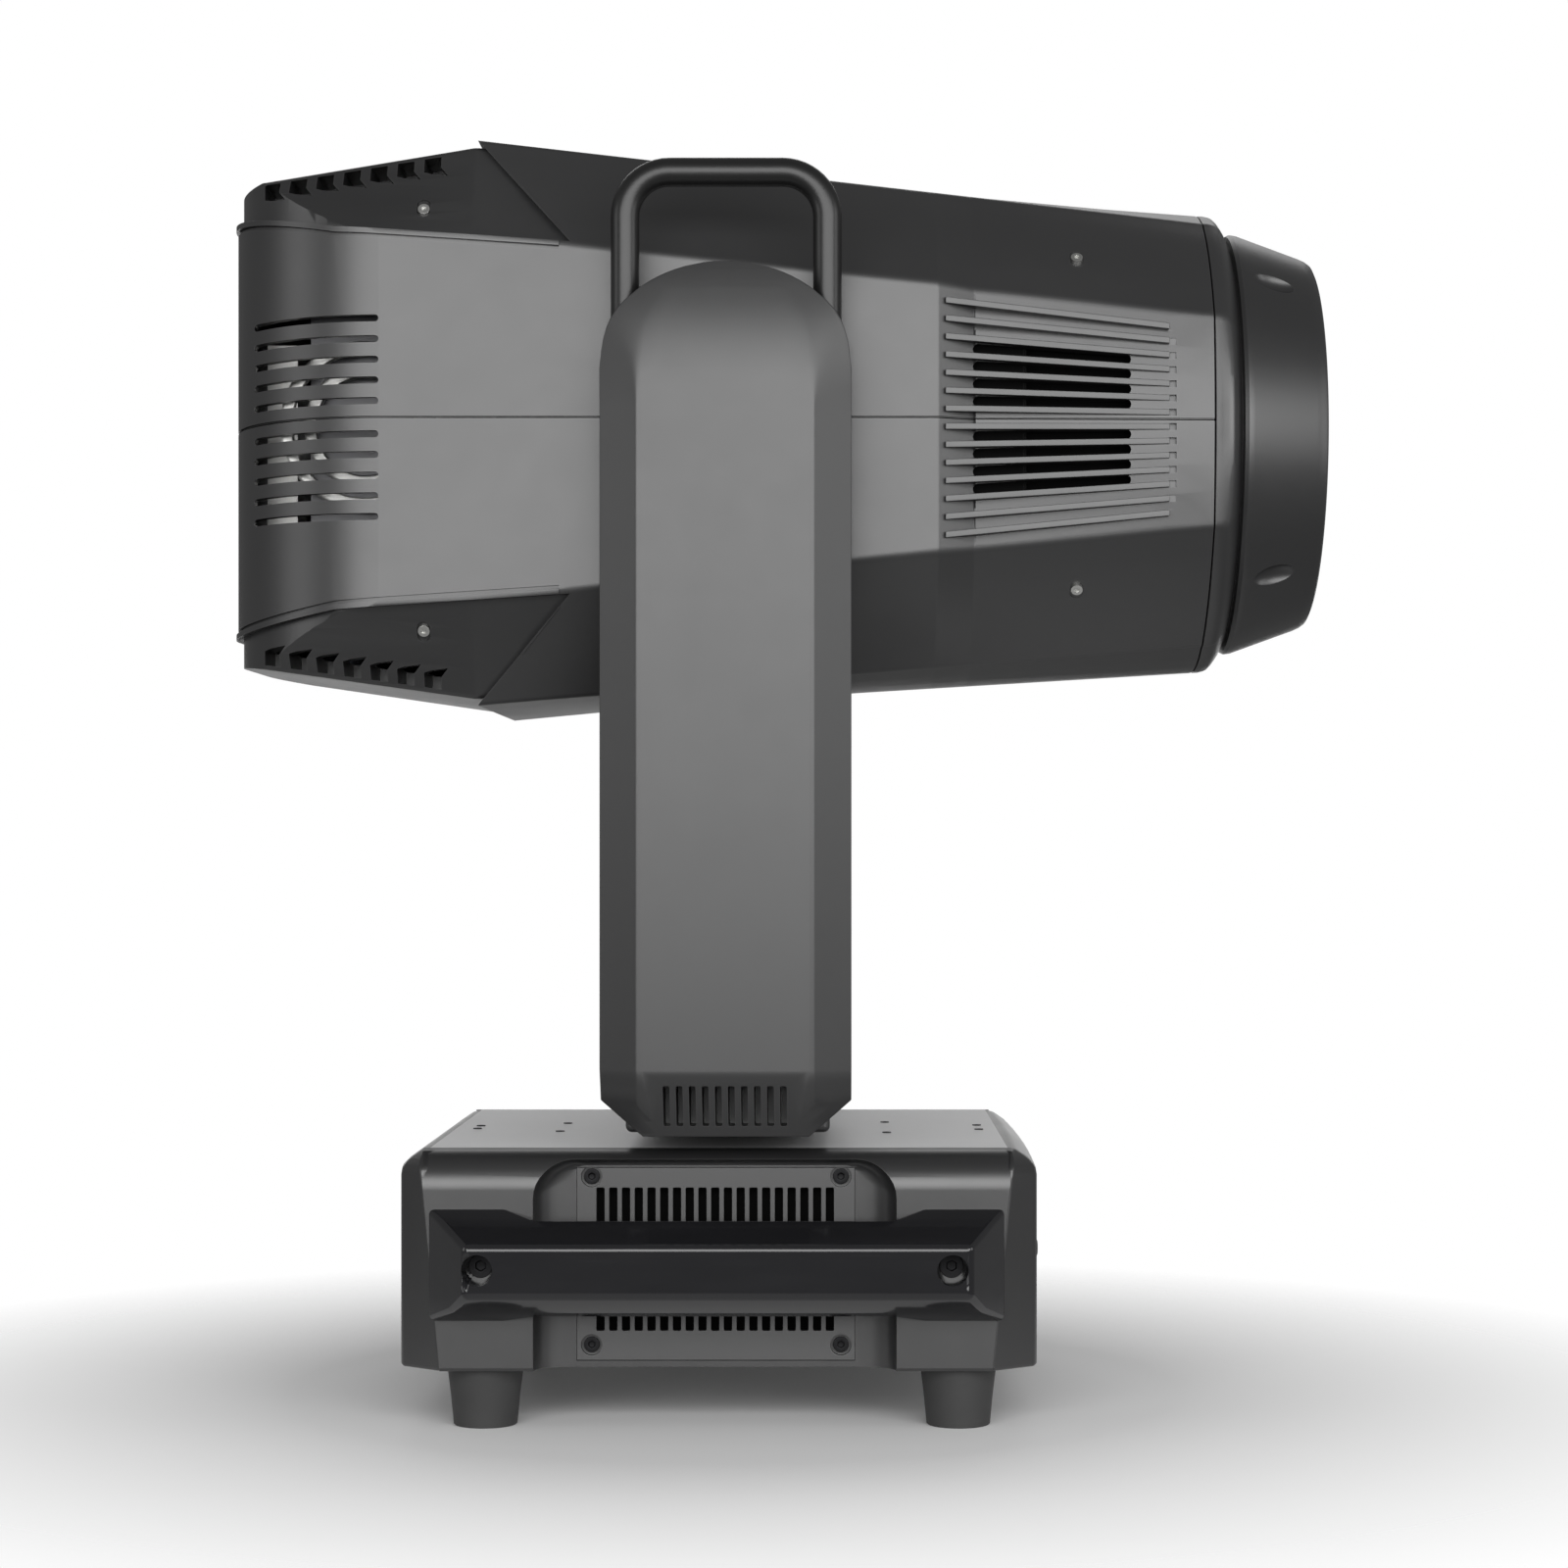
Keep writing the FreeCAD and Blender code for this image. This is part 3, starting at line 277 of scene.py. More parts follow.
def glass(name, tint):
    """Coated optical glass."""
    shade = Shade(name)
    haze = shade.noise(20.0, 3.0)
    shade.feed("Base Color", rgba(tint))
    shade.feed("Roughness", haze * 0.01)
    shade.feed("Transmission Weight", 1.0)
    shade.feed("IOR", 1.5)
    shade.feed("Coat Weight", 0.4)
    shade.feed("Coat Tint", (0.75, 0.8, 1.0, 1.0))
    return shade.material


def circuit(name):
    """Green board with tracks."""
    shade = Shade(name)
    tracks = (shade.noise(400.0, 1.0, shade.stretched((1.0, 1.0, 0.2))) - 0.5).clamp() * 4.0
    shade.feed("Base Color", shade.between((0.01, 0.09, 0.03, 1), (0.03, 0.2, 0.08, 1), tracks.clamp()))
    shade.feed("Roughness", 0.35 + tracks * 0.1)
    shade.bump(tracks, 0.0001)
    return shade.material


FINISH = {}


def mix_finishes(colours):
    """Every finish, by name."""
    FINISH["housing"] = moulded("Satin_Moulded_Plastic", colours.housing, 0.38)
    # Copies of the housing plastic in other tones. The vent panel's copy is lighter, which is painted light.
    # The copies for the base covers, the arms and the hood are darker, which is painted shade.
    FINISH["panel"] = moulded("Satin_Plastic_Painted_Light_Panel", tuple(1.2 * c for c in colours.housing), 0.42)
    FINISH["case"] = moulded("Satin_Plastic_Painted_Shade_Base", tuple(0.9 * c for c in colours.housing), 0.33)
    FINISH["arm"] = moulded("Satin_Plastic_Painted_Shade_Arm", tuple(0.9 * c for c in colours.housing), 0.40, level=0.94)
    FINISH["hood"] = moulded("Satin_Plastic_Painted_Shade_Hood", tuple(0.9 * c for c in colours.housing), 0.36, level=0.92)
    FINISH["sheet"] = painted("Grey_Powder_Coat", colours.sheet, 0.42)
    FINISH["black_paint"] = painted("Black_Powder_Coat", (0.012, 0.012, 0.012), 0.38)
    FINISH["bar"] = painted("Bar_Powder_Coat", (0.007, 0.007, 0.007), 0.34, 500.0)
    FINISH["grip"] = gloss("Gloss_Black_Plastic", colours.grip)
    FINISH["rubber"] = rubber("Foot_Rubber", (0.028, 0.028, 0.028))
    # Near-black with almost no sheen: painted shade behind the openings, used for the sheets inside the head
    # and for the dust filters.
    FINISH["dark"] = moulded("Painted_Shade_Black", (0.003, 0.003, 0.003), 0.8, level=0.08)
    FINISH["belt"] = rubber("Belt_Rubber", (0.02, 0.02, 0.02))
    FINISH["steel"] = metal("Ground_Steel", (0.55, 0.55, 0.56), 0.25, (1.0, 8.0, 8.0))
    FINISH["black_screw"] = metal("Black_Oxide_Steel", (0.02, 0.02, 0.021), 0.36)
    FINISH["zinc"] = metal("Zinc_Plated_Steel", (0.62, 0.62, 0.60), 0.30)
    FINISH["alloy"] = metal("Machined_Alloy", (0.72, 0.72, 0.74), 0.28, (1.0, 10.0, 1.0))
    # The heatsink's alloy is darkened: painted shade inside the head behind the rear slots.
    FINISH["sink"] = metal("Shade_Darkened_Alloy", (0.16, 0.16, 0.165), 0.36, (0.1, 1.0, 1.0))
    FINISH["lens"] = glass("Coated_Lens_Glass", (0.93, 0.97, 1.0))
    FINISH["display"] = gloss("Display_Window", (0.004, 0.005, 0.007))
    FINISH["socket"] = moulded("Socket_Plastic", (0.012, 0.012, 0.014), 0.38, 1800.0)
    FINISH["board"] = circuit("Circuit_Board")


# ---------------------------------------------------------------- mesh tools


def add_object(name, mesh):
    """A new object in the scene."""
    obj = bpy.data.objects.new(name, mesh)
    bpy.context.scene.collection.objects.link(obj)
    return obj


def from_bmesh(name, bm, recalc=True):
    """An object from a bmesh, in metres, normals outwards."""
    if recalc:
        bmesh.ops.recalc_face_normals(bm, faces=bm.faces)
    mesh = bpy.data.meshes.new(name)
    bm.to_mesh(mesh)
    bm.free()
    return add_object(name, mesh)


def settle(obj):
    """Apply every modifier."""
    graph = bpy.context.evaluated_depsgraph_get()
    mesh = bpy.data.meshes.new_from_object(obj.evaluated_get(graph))
    obj.modifiers.clear()
    obj.data = mesh
    return obj


def close_gaps(obj):
    """Merge doubled points and fill any pinhole that a cut has left."""
    bm = bmesh.new()
    bm.from_mesh(obj.data)
    rims = [edge for edge in bm.edges if not edge.is_manifold]
    if rims:
        bmesh.ops.remove_doubles(bm, verts=list({v for edge in rims for v in edge.verts}), dist=4e-5)
        bmesh.ops.holes_fill(bm, edges=[edge for edge in bm.edges if edge.is_boundary], sides=8)
        bm.to_mesh(obj.data)
    bm.free()
    return obj


def discard(*objs):
    """Remove helper objects."""
    for obj in objs:
        bpy.data.objects.remove(obj)


def join(name, objs):
    """One object from several."""
    bm = bmesh.new()
    for obj in objs:
        bm.from_mesh(obj.data)
    discard(*objs)
    return from_bmesh(name, bm, False)


def carve(target, tool, operation="DIFFERENCE"):
    """Cut, join or intersect with another solid."""
    change = target.modifiers.new("carve", "BOOLEAN")
    change.operation = operation
    change.object = tool
    change.solver = "EXACT"
    settle(target)
    discard(tool)
    return target


def copy_of(obj, name):
    """A separate copy."""
    return add_object(name, obj.data.copy())


def mirrored(obj, name):
    """The twin on the other side of the XZ plane."""
    bm = bmesh.new()
    bm.from_mesh(obj.data)
    bmesh.ops.scale(bm, vec=(1, -1, 1), verts=bm.verts)
    bmesh.ops.reverse_faces(bm, faces=bm.faces)
    twin = from_bmesh(name, bm, False)
    for material in obj.data.materials:
        twin.data.materials.append(material)
    return twin


AXES = {"x": (1, 2, 0), "y": (0, 2, 1), "z": (0, 1, 2)}


def prism(name, outline, axis, low, high):
    """A closed prism: an outline in millimetres across an axis, between two places along it."""
    first, second, third = AXES[axis]
    bm = bmesh.new()
    rings = []
    for along in (low, high):
        ring = []
        for a, b in outline:
            spot = [0.0, 0.0, 0.0]
            spot[first], spot[second], spot[third] = a * MM, b * MM, along * MM
            ring.append(bm.verts.new(spot))
        rings.append(ring)
    count = len(outline)
    bm.faces.new(rings[0])
    bm.faces.new(rings[1])
    for i in range(count):
        j = (i + 1) % count
        bm.faces.new((rings[0][i], rings[0][j], rings[1][j], rings[1][i]))
    return from_bmesh(name, bm)


def block(name, x, y, z):
    """A box between two places along each axis."""
    return prism(name, [(x[0], y[0]), (x[1], y[0]), (x[1], y[1]), (x[0], y[1])], "z", z[0], z[1])


def loft(name, rings):
    """A skin over rings of points in millimetres, with flat ends."""
    bm = bmesh.new()
    rows = [[bm.verts.new(Vector(p) * MM) for p in ring] for ring in rings]
    count = len(rows[0])
    for lower, upper in zip(rows, rows[1:]):
        for i in range(count):
            j = (i + 1) % count
            bm.faces.new((lower[i], lower[j], upper[j], upper[i]))
    bm.faces.new(rows[0])
    bm.faces.new(rows[-1])
    return from_bmesh(name, bm)


def lathe(name, profile, axis, centre, steps=96):
    """A turned piece: (place along the axis, radius) pairs, round an axis through a centre."""
    rings = []
    first, second, third = AXES[axis]
    bm = bmesh.new()
    for along, radius in profile:
        if radius < 1e-6:
            spot = list(Vector(centre) * MM)
            spot[third] = along * MM
            rings.append([bm.verts.new(spot)])
            continue
        ring = []
        for i in range(steps):
            turn = 2 * math.pi * i / steps
            spot = list(Vector(centre) * MM)
            spot[first] += radius * MM * math.cos(turn)
            spot[second] += radius * MM * math.sin(turn)
            spot[third] = along * MM
            ring.append(bm.verts.new(spot))
        rings.append(ring)
    loop = rings if len(rings[0]) == 1 or len(rings[-1]) == 1 else rings + rings[:1]
    for a, b in zip(loop, loop[1:]):
        for i in range(steps):
            j = (i + 1) % steps
            if len(a) == 1 and len(b) == 1:
                continue
            if len(a) == 1:
                bm.faces.new((a[0], b[j], b[i]))
            elif len(b) == 1:
                bm.faces.new((a[i], a[j], b[0]))
            else:
                bm.faces.new((a[i], a[j], b[j], b[i]))
    return from_bmesh(name, bm)


def rod_along(name, start, end, radius, steps=32, stretch=0.0):
    """A round bar between two points in millimetres, or one drawn out sideways into a slot shape."""
    way = (end - start).normalized()
    turn = way.to_track_quat("Z", "Y").to_matrix()
    across = way.cross(Vector((1, 0, 0)))
    rings = []
    for spot in (start, end):
        ring = []
        for i in range(steps):
            angle = 2 * math.pi * (i + 0.5) / steps
            rim = turn @ Vector((radius * math.cos(angle), radius * math.sin(angle), 0))
            ring.append(tuple(spot + rim + across * math.copysign(stretch, rim.dot(across))))
        rings.append(ring)
    return loft(name, rings)


def rod(name, axis, span, across, radius, steps=32):
    """A round bar along an axis; across is its place on the other two axes."""
    first, second, third = AXES[axis]
    ends = []
    for along in span:
        spot = Vector()
        spot[first], spot[second], spot[third] = across[0], across[1], along
        ends.append(spot)
    return rod_along(name, *ends, radius, steps)


def oblong(left, right, low, high):
    """The corners of a rectangle."""
    return [(left, low), (right, low), (right, high), (left, high)]


def arc(centre, radius, start, end, steps):
    """Points along an arc, angles in degrees."""
    points = []
    for i in range(steps + 1):
        turn = math.radians(start + (end - start) * i / steps)
        points.append((centre[0] + radius * math.cos(turn), centre[1] + radius * math.sin(turn)))
    return points


def rounded(corners, radius, steps=6):
    """An outline whose corners are rounded by the same radius."""
    points = []
    count = len(corners)
    for i in range(count):
        before = Vector(corners[i - 1])
        corner = Vector(corners[i])
        after = Vector(corners[(i + 1) % count])
        reach = min(radius, (before - corner).length * 0.45, (after - corner).length * 0.45)
        start = corner + (before - corner).normalized() * reach
        end = corner + (after - corner).normalized() * reach
        for k in range(steps + 1):
            t = k / steps
            spot = start * (1 - t) ** 2 + corner * 2 * t * (1 - t) + end * t * t
            points.append((spot.x, spot.y))
    return points


def soften(obj, width, segments=3, angle=28.0):
    """Round the edges, then shade smoothly with flat faces kept flat."""
    bm = bmesh.new()
    bm.from_mesh(obj.data)
    bmesh.ops.remove_doubles(bm, verts=bm.verts, dist=0.00002)
    bmesh.ops.dissolve_degenerate(bm, edges=bm.edges, dist=0.00002)
    bmesh.ops.dissolve_limit(bm, angle_limit=math.radians(0.5), verts=bm.verts, edges=bm.edges)
    bm.to_mesh(obj.data)
    bm.free()
    bevel = obj.modifiers.new("soften", "BEVEL")
    bevel.width = width
    bevel.segments = segments
    bevel.limit_method = "ANGLE"
    bevel.angle_limit = math.radians(angle)
    bevel.use_clamp_overlap = True
    settle(obj)
    return smooth(obj)


def bevel_cut_edges(obj, width, angle=42.0):
    """Round only the edges where faces meet steeply."""
    bevel = obj.modifiers.new("cut_edges", "BEVEL")
    bevel.width = width
    bevel.segments = 3
    bevel.limit_method = "ANGLE"
    bevel.angle_limit = math.radians(angle)
    return settle(obj)


def smooth(obj, angle=35.0):
    """Smooth shading, with weighted normals and sharp edges kept."""
    obj.data.shade_smooth()
    obj.data.set_sharp_from_angle(angle=math.radians(angle))
    even = obj.modifiers.new("even", "WEIGHTED_NORMAL")
    even.keep_sharp = True
    return settle(obj)


def repeated(name, source, count, step, material):
    """Copies of a solid in a straight row, made with geometry nodes and returned as a plain mesh."""
    tree = bpy.data.node_groups.new(name + "_row", "GeometryNodeTree")
    tree.interface.new_socket("Geometry", in_out="OUTPUT", socket_type="NodeSocketGeometry")
    wanted = {}
    for label, kind in (("Source", "Object"), ("Count", "Int"), ("Step", "Vector"), ("Finish", "Material")):
        made = tree.interface.new_socket(label, in_out="INPUT", socket_type="NodeSocket" + kind)
        wanted[label] = made.identifier
    entry, leave, line, info, spread, real, coat = [tree.nodes.new(kind) for kind in (
        "NodeGroupInput", "NodeGroupOutput", "GeometryNodeMeshLine", "GeometryNodeObjectInfo",
        "GeometryNodeInstanceOnPoints", "GeometryNodeRealizeInstances", "GeometryNodeSetMaterial")]
    for giver, output, taker, entrance in (
            (entry, "Source", info, "Object"), (entry, "Count", line, "Count"),
            (entry, "Step", line, "Offset"), (line, "Mesh", spread, "Points"),
            (info, "Geometry", spread, "Instance"),
            (spread, "Instances", real, "Geometry"), (real, "Geometry", coat, "Geometry"),
            (entry, "Finish", coat, "Material"), (coat, "Geometry", leave, "Geometry")):
        tree.links.new(giver.outputs[output], taker.inputs[entrance])
    row = add_object(name, bpy.data.meshes.new(name))
    rule = row.modifiers.new("row", "NODES")
    rule.node_group = tree
    rule[wanted["Source"]] = source
    rule[wanted["Count"]] = count
    rule[wanted["Step"]] = tuple(s * MM for s in step)
    rule[wanted["Finish"]] = material
    settle(row)
    discard(source)
    return row


def dress(obj, finish, body, slot, *nodes):
    """Give a piece its finish and its body, and hide the nodes it stands for. The slot is not used."""
    obj.data.materials.clear()
    obj.data.materials.append(FINISH[finish])
    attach(obj, body)
    if nodes:
        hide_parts(*nodes)
    return obj


def both_sides(left, pattern, finish, body, slot, *nodes):
    """Dress a left piece and its mirrored right twin."""
    right = mirrored(left, pattern.format("right"))
    left.name = pattern.format("left")
    for piece, side in ((left, "left"), (right, "right")):
        dress(piece, finish, body, slot, *[node.format(side) for node in nodes])


# ---------------------------------------------------------------- head

FACET_STEPS = 7


def facet_curve(start, end, bulge, steps):
    """Points from start to end along a shallow arc that stands out by bulge."""
    middle = (start + end) / 2
    out = middle.normalized() * bulge
    return [start.lerp(end, t) + out * (4 * t * (1 - t)) for t in (i / steps for i in range(steps + 1))]


def eight_sided(x, side, facet_z, facet_y, top, bulges, round_by):
    """A ring of eight facets with rounded corners, across the beam."""
    quarter = [(side, -facet_z), (side, facet_z), (facet_y, top), (-facet_y, top),
               (-side, facet_z), (-side, -facet_z), (-facet_y, -top), (facet_y, -top)]
    side_bulge, slant_bulge, top_bulge = bulges
    outs = [side_bulge, slant_bulge, top_bulge, slant_bulge] * 2
    corners = [Vector(c) for c in quarter]
    ring = []
    for i in range(8):
        start, end = corners[i], corners[(i + 1) % 8]
        way = (end - start).normalized()
        line = facet_curve(start + way * round_by, end - way * round_by, outs[i], FACET_STEPS)
        after = (corners[(i + 2) % 8] - end).normalized()
        turn = [end - way * round_by * (1 - t) ** 2 + after * round_by * t ** 2 for t in (0.25, 0.5, 0.75)]
        ring += line + turn
    return [(x, p.x, TILT_Z + p.y) for p in ring]


POD_END = 134.0
RAMP_END = 158.0
SIDE_REAR = 158.0
SIDE_FRONT = 141.0
SIDE_CORNER_Z = 117.0
SLANT_CORNER_Y = 130.0
HALF_HEIGHT = 183.0
REAR_BEND = 110.0


def side_at(x):
    """How far the side facet stands out: the raised panel, a ramp, then the taper that carries the fins."""
    taper = SIDE_REAR + (SIDE_FRONT - SIDE_REAR) * (x - SHOULDER_X) / (FRONT_X - SHOULDER_X)
    return taper + (SIDE_REAR - taper) * max(0.0, min(1.0, (RAMP_END - x) / (RAMP_END - POD_END)))


def head_ring(x, drop=0.0):
    """The head's section between its shoulder and its front end."""
    share = (x - SHOULDER_X) / (FRONT_X - SHOULDER_X)
    bulges = (0.0 if x < RAMP_END else 5 * share, 6 * share, 14 * share)
    return eight_sided(x, side_at(x) - drop, SIDE_CORNER_Z - 48 * share - drop * 0.5,
                       SLANT_CORNER_Y - 62 * share - drop * 0.5, HALF_HEIGHT - 42 * share - drop,
                       bulges, 3 + 2 * share)


def plan_outline(drop):
    """The rear's plan outline with its two large rounded corners."""
    half = SIDE_REAR - drop
    x, y = REAR_X + drop + REAR_BEND, half - REAR_BEND
    return ([(400, -200), (x + 4, -200), (x + 0.5, -half - 0.2)]
            + arc((x, -y), REAR_BEND, 268, 180, 22) + arc((x, y), REAR_BEND, 180, 92, 22)
            + [(x + 0.5, half + 0.2), (x + 4, 200), (400, 200)])


def rear_ring(x, drop):
    """The head's section behind its shoulder."""
    share = (SHOULDER_X - x) / (SHOULDER_X - REAR_X + 2)
    return eight_sided(x, SIDE_REAR - drop, SIDE_CORNER_Z + 9 * share - drop * 0.5,
                       SLANT_CORNER_Y - 18 * share - drop * 0.5, HALF_HEIGHT - 24 * share - drop,
                       (0, 0, 0), 3)


def head_form(name, drop, sunk=0.0, end=0.0):
    """The whole head as one solid, less a drop; sunk lowers the rear, end lengthens the front."""
    rings = [rear_ring(x, drop + sunk) for x in (REAR_X - 2, -280, -230, SHOULDER_X - 1.5)]
    stations = [SHOULDER_X + 1.5, -100, -50, 0, 50, 100, POD_END - 1, POD_END + 1, RAMP_END - 1,
                RAMP_END + 0.5, 185, 210, 235, 260, 285, FRONT_X + end]
    rings += [head_ring(x, drop + sunk) for x in stations]
    form = loft(name, rings)
    bm = bmesh.new()
    bm.from_mesh(form.data)
    bmesh.ops.triangulate(bm, faces=bm.faces)
    bm.to_mesh(form.data)
    bm.free()
    plan = prism(name + "_plan", plan_outline(drop), "z", TILT_Z - 220, TILT_Z + 220)
    return carve(form, plan, "INTERSECT")


def side_zone(name, gap):
    """The space of the two main shells, seen from the side, less a gap along its borders."""
    upper = [(REAR_X - 20, 141.0), (-252, 122.5), (-101, 112.5), (-169, 190), (-169, 260), (500, 260)]
    upper = [(x + (gap if i in (2, 3, 4) else 0), z - (gap if i < 3 else 0))
             for i, (x, z) in enumerate(upper)]
    outline = [(x, TILT_Z + z) for x, z in upper] + [(x, TILT_Z - z) for x, z in reversed(upper)]
    return prism(name, outline, "y", -300, 300)


FIN_LEFT, FIN_RIGHT = 139.0, 287.0
FIN_SPAN_LEFT, FIN_SPAN_RIGHT = 75.0, 59.5


def fin_height(index, count, x):
    """Height of a fin's middle above the tilt axis; the fins draw together towards the front."""
    share = (x - FIN_LEFT) / (FIN_RIGHT - FIN_LEFT)
    span = FIN_SPAN_LEFT + (FIN_SPAN_RIGHT - FIN_SPAN_LEFT) * share
    return span - 2 * span * index / (count - 1)


def fin_bar(name, ends, sign, half):
    """A straight tapering bar: ((x, inner y, outer y, z), ...) at its two ends."""
    rings = [[(x, sign * inner, TILT_Z + z - half), (x, sign * outer, TILT_Z + z - half),
              (x, sign * outer, TILT_Z + z + half), (x, sign * inner, TILT_Z + z + half)]
             for x, inner, outer, z in ends]
    return loft(name, rings)


def cooling_fins(count, sign):
    """The fins of one side, split into those above and below the seam."""
    groups = ([], [])
    for i in range(count):
        ends = ((FIN_LEFT, 138.0, 158.4, fin_height(i, count, FIN_LEFT)),
                (FIN_RIGHT - 4, 136.0, 147.6, fin_height(i, count, FIN_RIGHT - 4)))
        bar = fin_bar(f"fin_{i}", ends, sign, 2.0)
        groups[0 if i < count // 2 else 1].append(soften(bar, 0.0005, 2))
    return groups


def fin_openings(count, sign):
    """Tools for the openings between the fins and for the small pockets at their front ends."""
    tools = []
    for i in range(2, count - 3):
        if i == count // 2 - 1:
            continue
        ring = []
        for x, turn in ((255.0, -90), (160.0, 90)):
            level = (fin_height(i, count, x) + fin_height(i + 1, count, x)) / 2
            ring += [(a, TILT_Z + b) for a, b in arc((x, level), 3.4, turn, turn + 180, 6)]
        tools.append(prism(f"opening_{i}", ring, "y", *sorted((sign * 118.0, sign * 170.0))))
    for i in range(count):
        z = fin_height(i, count, FIN_RIGHT)
        tools.append(block(f"pocket_{i}", (FIN_RIGHT - 4.5, FIN_RIGHT + 0.5),
                           sorted((sign * 143.0, sign * 160.0)), (TILT_Z + z - 2.2, TILT_Z + z + 2.2)))
    return tools


def rear_slot_tools(sign):
    """Tools for the ten cooling slots in a rear corner, with rounded ends."""
    tools = []
    for k in range(5):
        for way in (-1, 1):
            z = TILT_Z + way * (10.6 + 13.2 * k)
            outline = arc((-225.5, z), 2.3, -90, 90, 6) + arc((-308.0, z), 2.3, 90, 270, 6)
            tools.append(prism(f"rear_slot_{k}_{way}", outline, "y", *sorted((sign * 62.0, sign * 170.0))))
    return tools


def facet_spots(place):
    """A screw's four spots on the slanted facets, each with its outward direction."""
    x, y, z, lean = place
    for side in (-1, 1):
        for up in (-1, 1):
            way = Vector((0, side * math.cos(lean), up * math.sin(lean)))
            yield Vector((x, side * y, TILT_Z + up * z)), way


def screw_pocket_tools(place, radius, depth):
    """Tools for the screw pockets, square to the facets."""
    return [rod_along("pocket", spot - way * depth, spot + way * 12, radius, 24, radius * 0.6)
            for spot, way in facet_spots(place)]


# Screws of the shells and of the vent covers: x, y, height from the tilt axis, lean of the facet.
SHELL_SCREWS = (225.0, 126.0, 109.0, 0.66)
COVER_SCREWS = (-196.0, 146.0, 137.0, 0.42)


def build_head_screws(name, place, sink):
    """Four screws at the bottom of their pockets."""
    screws = []
    for mouth, way in facet_spots(place):
        spot = mouth - way * sink
        head = rod_along("screw", spot - way * 3, spot, 3.9, 24)
        carve(head, rod_along("screw_key", spot - way * 1.4, spot + way * 2, 1.7, 6))
        screws.append(soften(head, 0.0003, 2))
    dress(join(name, screws), "zinc", "head", "screw_steel")


def notch_tools():
    """Tools for the saw-tooth louvres below the top edge of the vent covers."""
    tools = []
    for up in (-1, 1):
        for side in (-1, 1):
            for k in range(7):
                x, z = -303.0 + 17.6 * k, 151.5 + 2.49 * k
                outline = [(x, z + 4.5), (x, z - 4.8), (x + 5.0, z - 6.2), (x + 16.0, z - 7.5),
                           (x + 11.0, z - 1.5), (x + 11.0, z + 5.9)]
                outline = [(a, TILT_Z + up * b) for a, b in outline]
                reach = sorted((side * (70.0 + 1.9 * k), side * 175.0))
                tools.append(prism(f"notch_{up}_{side}_{k}", outline, "y", *reach))
    return tools


def build_head_shells(sizes):
    """Upper and lower shells with raised side panels, fins and slots."""
    outer = carve(head_form("shell_outer", 0.0), side_zone("shell_zone", 0.0), "INTERSECT")
    groove = block("seam_groove", (-400, 400), (-250, 250), (TILT_Z - 0.9, TILT_Z + 0.9))
    carve(outer, carve(groove, head_form("groove_floor", 1.8, end=20)))
    for up in (-1, 1):
        line = [(REAR_X - 20, 141.0), (-252, 122.5), (-108, 113.0)]
        strip = [(x, TILT_Z + up * (z - 3.4)) for x, z in line]
        strip += [(x, TILT_Z + up * (z - 5.8)) for x, z in reversed(line)]
        strip = prism("border_groove", strip, "y", -260, 260)
        carve(outer, carve(strip, head_form("border_floor", 1.5, end=20)))
    bevel_cut_edges(outer, 0.0010)
    carve(outer, head_form("shell_inner", 4.5, end=5))
    tools = []
    for sign in (-1, 1):
        tools += fin_openings(sizes.fin_count, sign) + rear_slot_tools(sign)
    tools += screw_pocket_tools(SHELL_SCREWS, 4.6, 4.0)
    close_gaps(carve(outer, join("shell_tools", tools)))
    gap = sizes.seam / MM / 2
    halves = (("head_upper_shell", (TILT_Z + gap, TILT_Z + 300), 0),
              ("head_lower_shell", (TILT_Z - 300, TILT_Z - gap), 1))
    fins = [cooling_fins(sizes.fin_count, sign) for sign in (-1, 1)]
    for label, span, which in halves:
        half = copy_of(outer, label + "_skin")
        carve(half, block("half_space", (-400, 400), (-250, 250), span), "INTERSECT")
        smooth(half, 30.0)
        piece = join(label + "_look", [half] + fins[0][which] + fins[1][which])
        dress(piece, "housing", "head", "housing", label)
    discard(outer)
    build_head_screws("shell_screws", SHELL_SCREWS, 1.6)


def build_lips():
    """The raised lips along the rear borders of the two shells."""
    lip = carve(head_form("lip_outer", -1.1), side_zone("lip_zone", 0.0), "INTERSECT")
    carve(lip, side_zone("lip_inset", 3.4))
    carve(lip, head_form("lip_inner", 2.0, end=5))
    reach = block("lip_reach", (REAR_X - 20, -108), (-200, 200), (TILT_Z - 150, TILT_Z + 150))
    carve(lip, reach, "INTERSECT")
    soften(lip, 0.0007, 3, 30.0)
    dress(lip, "housing", "head", "housing")


def build_fan_rings():
    """Bright fan shrouds behind the rear slots."""
    rings = []
    for sign in (-1, 1):
        for outer, near in ((55.0, 110.0), (40.0, 105.0)):
            profile = [(near, outer), (near + 5, outer), (near + 6, outer - 2), (near + 6, outer - 7),
                       (near + 5, outer - 8), (near, outer - 8)]
            profile = [(sign * along, radius) for along, radius in profile]
            rings.append(smooth(lathe("fan_ring", profile, "y", (-238, 0, TILT_Z)), 50))
    dress(join("fan_shrouds", rings), "zinc", "head", "cooling_alloy")


def build_baffles():
    """Near-black sheets inside the head: painted shade seen through the openings."""
    sheets = []
    for sign in (-1, 1):
        spans = sorted((sign * 138.4, sign * 139.4))
        sheets.append(block("front_baffle", (154, 190), spans, (TILT_Z - 72, TILT_Z + 72)))
        spans = sorted((sign * 126.0, sign * 127.5))
        sheets.append(block("side_baffle", (190, 268), spans, (TILT_Z - 72, TILT_Z + 72)))
        for end in (191.5, 268):
            spans = sorted((sign * 126.0, sign * 138.0))
            sheets.append(block("baffle_flange", (end - 1.5, end), spans, (TILT_Z - 78, TILT_Z + 78)))
    dress(soften(join("light_baffles", sheets), 0.0003, 2), "dark", "head", "frame_steel")


